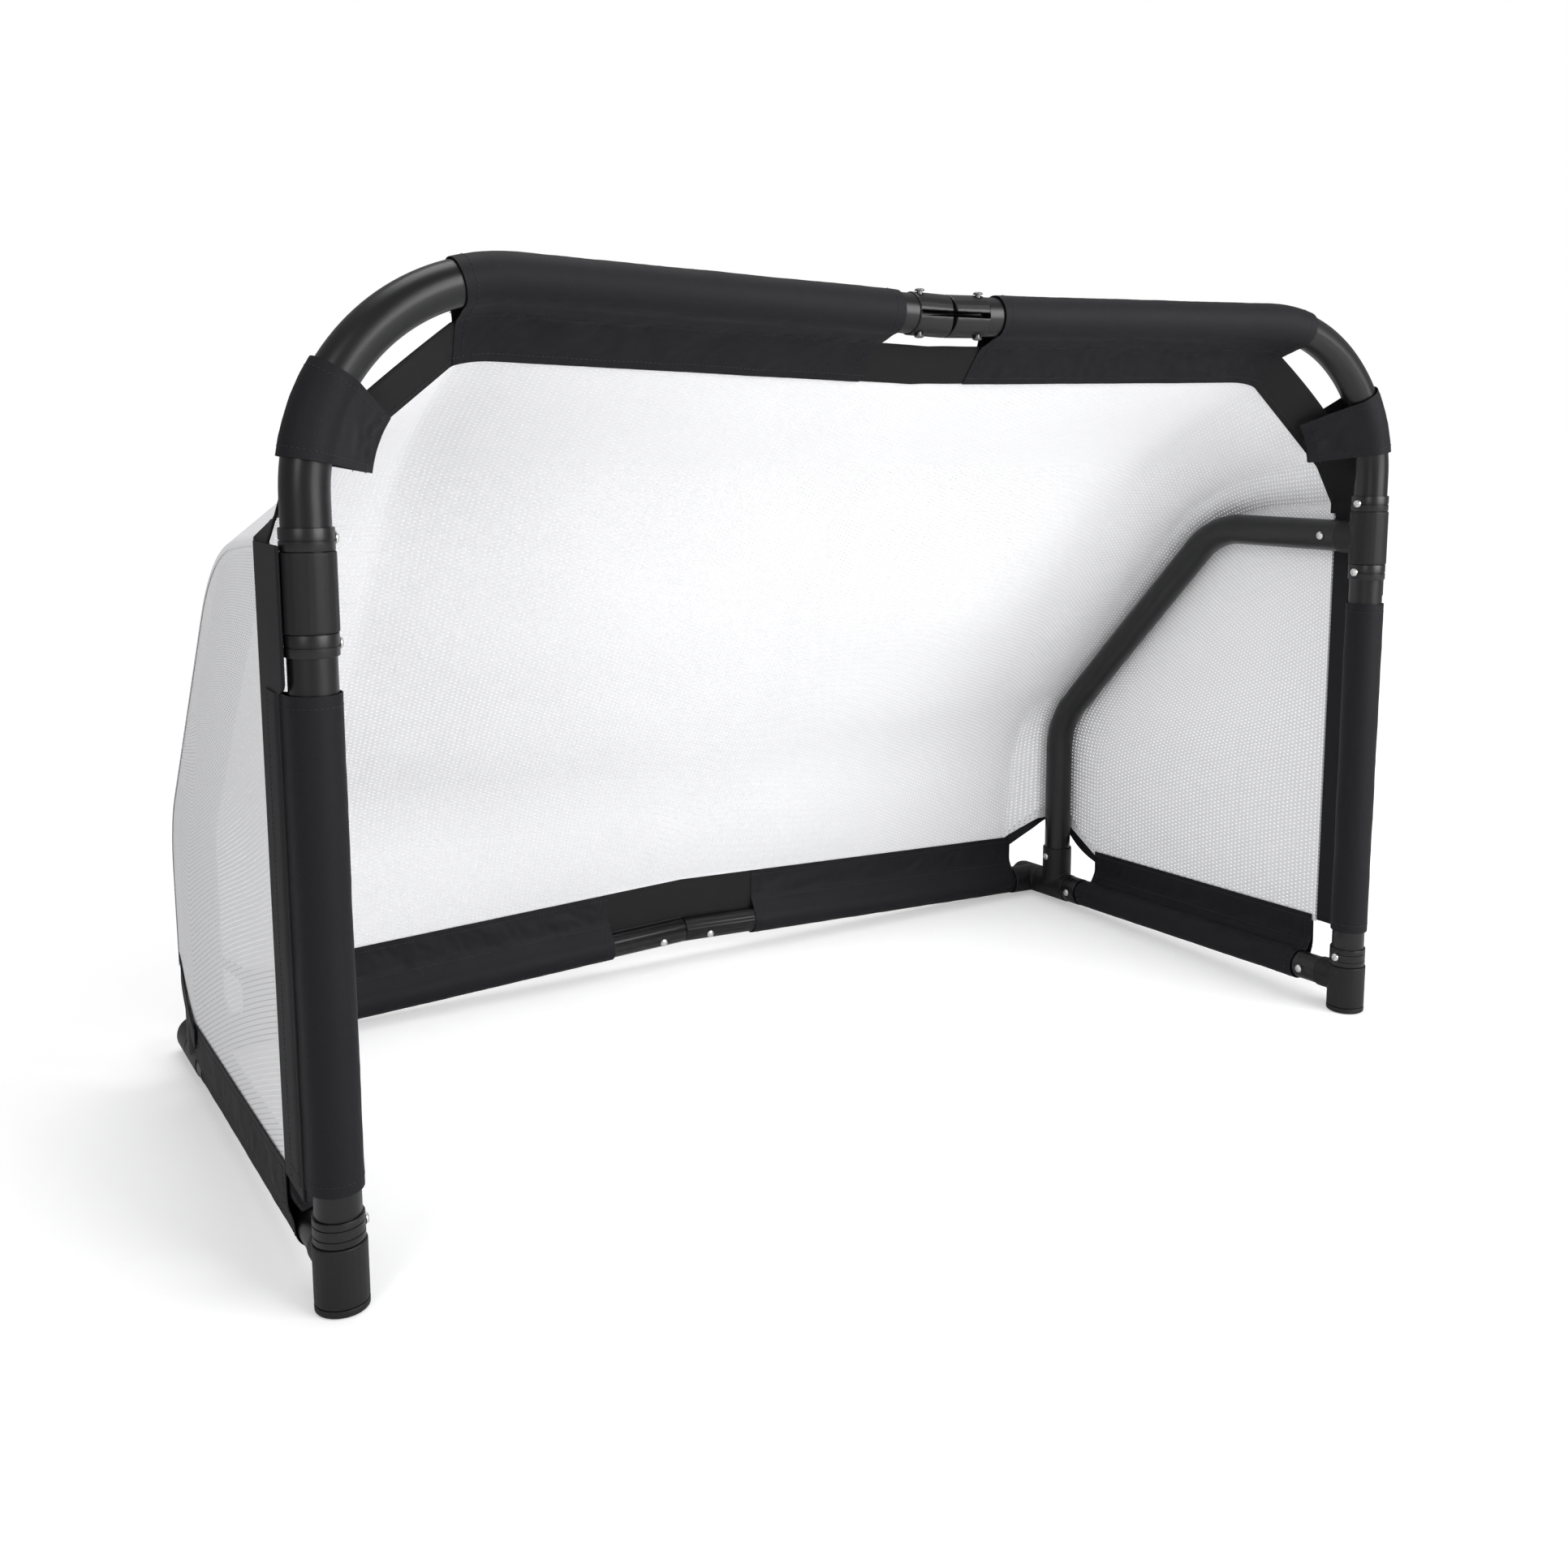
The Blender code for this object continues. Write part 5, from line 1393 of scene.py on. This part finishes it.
def makeSideNet(side, label):
    profile = strutProfile(net["sideGap"])
    front, topShare = post["bandRear"] + net["bandGap"], net["sideTop"]
    barEnd = sideSleeve["span"][1]

    def hemHeight(rear):
        return linePoint(min(rear, barEnd)).z + net["sideHem"]

    def near(t):
        return np.array([front, post["bandTop"] + (hemHeight(front) - post["bandTop"]) * t])

    def top(s):
        return profile(topShare * s) + (1 - s) ** 8 * (near(0) - profile(0))

    def far(t):
        return profile(topShare + (1 - topShare) * t)

    def bottom(s):
        end = profile(1)
        rear = front + (end[0] - front) * s
        height = hemHeight(rear)
        if rear > barEnd:
            height += (end[1] - height) * (rear - barEnd) / (end[0] - barEnd)
        return np.array([rear, height])

    columns, rows = net["sideColumns"], net["sideRows"]
    tops = [top(j / columns) for j in range(columns + 1)]
    bottoms = [bottom(j / columns) for j in range(columns + 1)]
    points = np.zeros((rows + 1, columns + 2, 3))
    for i in range(rows + 1):
        t = i / rows
        left, right = near(t), far(t)
        leftChord = (1 - t) * tops[0] + t * bottoms[0]
        rightChord = (1 - t) * tops[-1] + t * bottoms[-1]
        for j in range(columns + 1):
            s = j / columns
            point = (1 - t) * tops[j] + t * bottoms[j] + (1 - s) * left + s * right
            point -= (1 - s) * leftChord + s * rightChord
            points[i, j + 1] = (side * goal["netOffset"], *point)
        points[i, 0] = points[i, 1] - np.array([0, net["lapStep"], 0])
    points += np.array([side * goal["halfWidth"], goal["postY"], 0])
    node = label + "_side_net"
    sewNet(netMesh(node + "_knit", points), label, node)


for side, label in sides:
    makeBackNet(side, label)
    makeSideNet(side, label)
print("nets made")


# The band along the net's top corner, from the crossbar's flap to the post's band. BendLow and
# bendHigh mark a stretch between the side frame and the arch
cornerBand = {
    "start": 0.010,
    "width": 0.043,
    "tubeGap": 0.0237,
    "steps": 40,
    "tail": (0.006, 0.012),
    "bendLow": (0.045, 0.61),
    "bendHigh": (0.06, 0.045, 0.67),
}


def toGoal(points, side):  # from inward, rear and height to the goal's own frame
    points = np.array(points)
    points[:, 0] *= -side
    matrix = np.array(sideMatrix(side))
    return points @ matrix[:3, :3].T + matrix[:3, 3]


def makeCornerBand(side, label):
    mouth = mouthStops()
    start, count = mouth[3, 0] + cornerBand["start"], cornerBand["steps"]
    front, rear = [], []
    for k in range(count + 1):
        inward = start + (-goal["netOffset"] - start) * k / count
        edge, way = mouthEdge(mouth, inward)
        inner = edge + way * cornerBand["width"]
        inner[1] = max(inner[1], cornerBand["tubeGap"])
        front.append(inner)
        rear.append(edge)
    for shift in cornerBand["tail"]:
        front.append(front[count] - np.array([0, 0, shift]))
        rear.append(rear[count] - np.array([0, 0, shift]))
    front, rear = toGoal(front, side), toGoal(rear, side)
    square = np.cross(np.gradient(rear, axis=0), rear - front)
    square /= np.linalg.norm(square, axis=1, keepdims=True)
    grid = pocketGrid(front, rear, square, cloth["bandHalf"])
    name = label + "_corner_band"
    obj = clothMesh(name + "_cloth", grid, "band", cloth["bandWall"])
    matrix = sideMatrix(side)
    low = matrix @ Vector((side * goal["netOffset"], *cornerBand["bendLow"]))
    inward, rear, height = cornerBand["bendHigh"]
    high = matrix @ Vector((-side * inward, rear, height))
    blends[name] = (label + "_side_frame", label + "_arch", low, high)
    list(blends[name])
    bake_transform(obj)
    stitchGrid(name, grid, matrix @ Vector((0, 0, 0.7)), columns=(2, -3))


# The narrow strap along the net's lower corner, behind the strut, from the rear bar's flap to the
# side bar's flap
strap = {
    "width": 0.0195,
    "wall": 0.0014,
    "netGap": 0.0012,
    "rise": 0.0075,
    "bendStart": (0.006, 0.54, 0.1),
    "bendEnd": (0.052, 0.54, 0.1),
}


def makeCornerStrap(side, label):
    rear = goal["strutReach"] + net["clear"] + strap["netGap"]
    low = net["cornerHeight"] + strap["rise"]
    axis = linePoint(goal["rearReach"])
    bow = math.sin(goal["bow"])
    flapTop = axis.z + cloth["rearReach"] + cloth["rearSpan"][0] * bow
    sideTop = linePoint(sideSleeve["span"][1]).z + sideSleeve["reach"]
    offset = goal["netOffset"] + strap["netGap"]
    corners = [
        (0.066, axis.y + 0.0040, flapTop - 0.012),
        (0.052, axis.y + 0.0060, flapTop - 0.006),
        (0.038, axis.y - 0.0123, low - 0.026),
        (0.026, rear + 0.0028, low - 0.0105),
        (0.0, rear + 0.002, low + 0.001),
        (-offset * 0.72, rear, low),
        (-offset, rear - 0.010, low - 0.005),
        (-offset - 0.0002, 0.490, sideTop + 0.004),
        (-offset - 0.0030, 0.452, sideTop - 0.010),
        (-offset - 0.0032, 0.436, sideTop - 0.012),
    ]
    path = np.array(corners)
    for _ in range(4):
        finer = np.repeat(path, 2, axis=0)[:-1].astype(float)
        finer[1::2] = (path[:-1] + path[1:]) / 2
        inner = 0.5 * finer[1:-1] + 0.25 * (finer[:-2] + finer[2:])
        finer[1:-1] = inner
        path = finer
    path = toGoal(path, side)
    tangent = np.gradient(path, axis=0)
    tangent /= np.linalg.norm(tangent, axis=1, keepdims=True)
    up = np.array([0, 0, 1.0]) - tangent * tangent[:, 2:3]
    up /= np.linalg.norm(up, axis=1, keepdims=True)
    columns = [path + up * strap["width"] * (k / 4 - 0.5) for k in range(5)]
    grid = np.array(columns).transpose(1, 0, 2)
    obj = clothMesh(label + "_corner_strap", grid, "fabric", strap["wall"])
    for inward, back, height in (strap["bendStart"], strap["bendEnd"]):
        sideMatrix(side) @ Vector((-side * inward, back, height))
    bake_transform(obj)


for side, label in sides:
    makeCornerBand(side, label)
    makeCornerStrap(side, label)
print("corner bands made")


def makeStitches():  # one piece for each set of stitches, which moves as its cloth moves
    for key, lines in stitches["lines"].items():
        verts, edges = [], []
        for line in lines:
            first = len(verts)
            verts += line
            edges += [(first + k, first + k + 1) for k in range(len(line) - 1)]
        mesh = bpy.data.meshes.new(key + "_stitches")
        mesh.from_pydata(verts, edges, [])
        values = {"Pitch": stitches["pitch"], "Thread": stitches["thread"]}
        obj = runGroup(key + "_stitches", mesh, stitchGroup, "thread", values)
        obj.data.shade_smooth()
        if key in blends:
            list(blends[key])
            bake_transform(obj)
        elif key in squashes:
            body, squash = squashes[key]
            place(obj, body, "thread")
            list(squash)
            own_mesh(obj)
        else:
            place(obj, key, "thread")


makeStitches()
print("stitches made")


# Camera, floor and light. The camera's focal length and centre are in the photo's pixels
eye = {
    "focal": 1884.5,
    "centre": (1018.0, 808.9),
    "place": (-0.8558, -1.4182, 0.6624),
    "turn": (-32.396, 8.096, 0.036),
    "pixels": 1932,
}
floorLook = {"grey": 0.8, "near": 0.7, "far": 2.2, "nearLift": 0.34, "farLift": 0.76}
worldLook = {"To Min": 0.34, "To Max": 1.0}  # as light, and as the camera sees it
lamps = {
    "key": dict(place=(1.5, -3.0, 1.6), target=(0, 0, 0.4), size=(2.4, 2.2), power=116),
    "fill": dict(place=(-2.4, -2.0, 1.6), target=(0, 0, 0.4), size=(1.0, 1.6), power=22),
    "top": dict(place=(0, 0.2, 3.0), target=(0, 0, 0), size=(2.2, 1.6), power=36),
}


def makeCamera():
    yaw, pitch, roll = (math.radians(angle) for angle in eye["turn"])
    level = math.cos(pitch)
    forward = Vector((-math.sin(yaw) * level, math.cos(yaw) * level, -math.sin(pitch)))
    right = Vector((math.cos(yaw), math.sin(yaw), 0))
    up = right.cross(forward)
    across = right * math.cos(roll) + up * math.sin(roll)
    above = up * math.cos(roll) - right * math.sin(roll)
    data = bpy.data.cameras.new("camera")
    data.sensor_width = 36
    data.lens = 36 * eye["focal"] / eye["pixels"]
    half = eye["pixels"] / 2
    data.shift_x = (half - eye["centre"][0]) / eye["pixels"]
    data.shift_y = (eye["centre"][1] - half) / eye["pixels"]
    camera = addObject("camera", data)
    turn = Matrix((across, above, -forward)).transposed().to_4x4()
    camera.matrix_world = Matrix.Translation(eye["place"]) @ turn
    bpy.context.scene.camera = camera


def makeFloor():  # a camera sees it as white, apart from the goal's own shadow
    mesh = bpy.data.meshes.new("floor")
    mesh.from_pydata([(-30, -30, 0), (30, -30, 0), (30, 30, 0), (-30, 30, 0)], [], [(0, 1, 2, 3)])
    floor = addObject("floor", mesh)
    floor.location.z = -0.0005
    material = bpy.data.materials.new("floor")
    material.use_nodes = True
    tree = material.node_tree
    tree.nodes.clear()
    out = addNode(tree, "ShaderNodeOutputMaterial")
    plain = addNode(tree, "ShaderNodeBsdfDiffuse", {"Color": (*[floorLook["grey"]] * 3, 1)})
    lift = addNode(tree, "ShaderNodeEmission")
    path = addNode(tree, "ShaderNodeLightPath")
    where = addNode(tree, "ShaderNodeTexCoord")
    away = addNode(tree, "ShaderNodeVectorMath", operation="LENGTH")
    values = {
        "From Min": floorLook["near"],
        "From Max": floorLook["far"],
        "To Min": floorLook["nearLift"],
        "To Max": floorLook["farLift"],
    }
    rise = addNode(tree, "ShaderNodeMapRange", values)
    share = addNode(tree, "ShaderNodeMath", operation="MULTIPLY")
    both = addNode(tree, "ShaderNodeAddShader")
    link = tree.links.new
    link(where.outputs["Object"], away.inputs[0])
    link(away.outputs["Value"], rise.inputs["Value"])
    link(rise.outputs["Result"], share.inputs[1])
    link(path.outputs["Is Camera Ray"], share.inputs[0])
    link(share.outputs[0], lift.inputs["Strength"])
    link(plain.outputs[0], both.inputs[0])
    link(lift.outputs[0], both.inputs[1])
    link(both.outputs[0], out.inputs["Surface"])
    mesh.materials.append(material)


def makeWorld():  # white behind the goal, and a plain grey for its light
    world = bpy.data.worlds.new("studio")
    world.use_nodes = True
    tree = world.node_tree
    back = tree.nodes["Background"]
    path = addNode(tree, "ShaderNodeLightPath")
    level = addNode(tree, "ShaderNodeMapRange", worldLook)
    tree.links.new(path.outputs["Is Camera Ray"], level.inputs["Value"])
    tree.links.new(level.outputs["Result"], back.inputs["Strength"])
    back.inputs["Color"].default_value = (1, 1, 1, 1)
    bpy.context.scene.world = world


def makeLamp(name, lamp):
    data = bpy.data.lights.new(name, "AREA")
    data.shape = "RECTANGLE"
    data.size, data.size_y = lamp["size"]
    data.energy = lamp["power"]
    obj = addObject(name, data)
    obj.location = lamp["place"]
    way = Vector(lamp["target"]) - Vector(lamp["place"])
    obj.rotation_euler = way.to_track_quat("-Z", "Y").to_euler()


makeCamera()
makeFloor()
makeWorld()
for name, lamp in lamps.items():
    makeLamp(name, lamp)
bpy.context.scene.view_settings.view_transform = "Standard"
print("camera and light made")
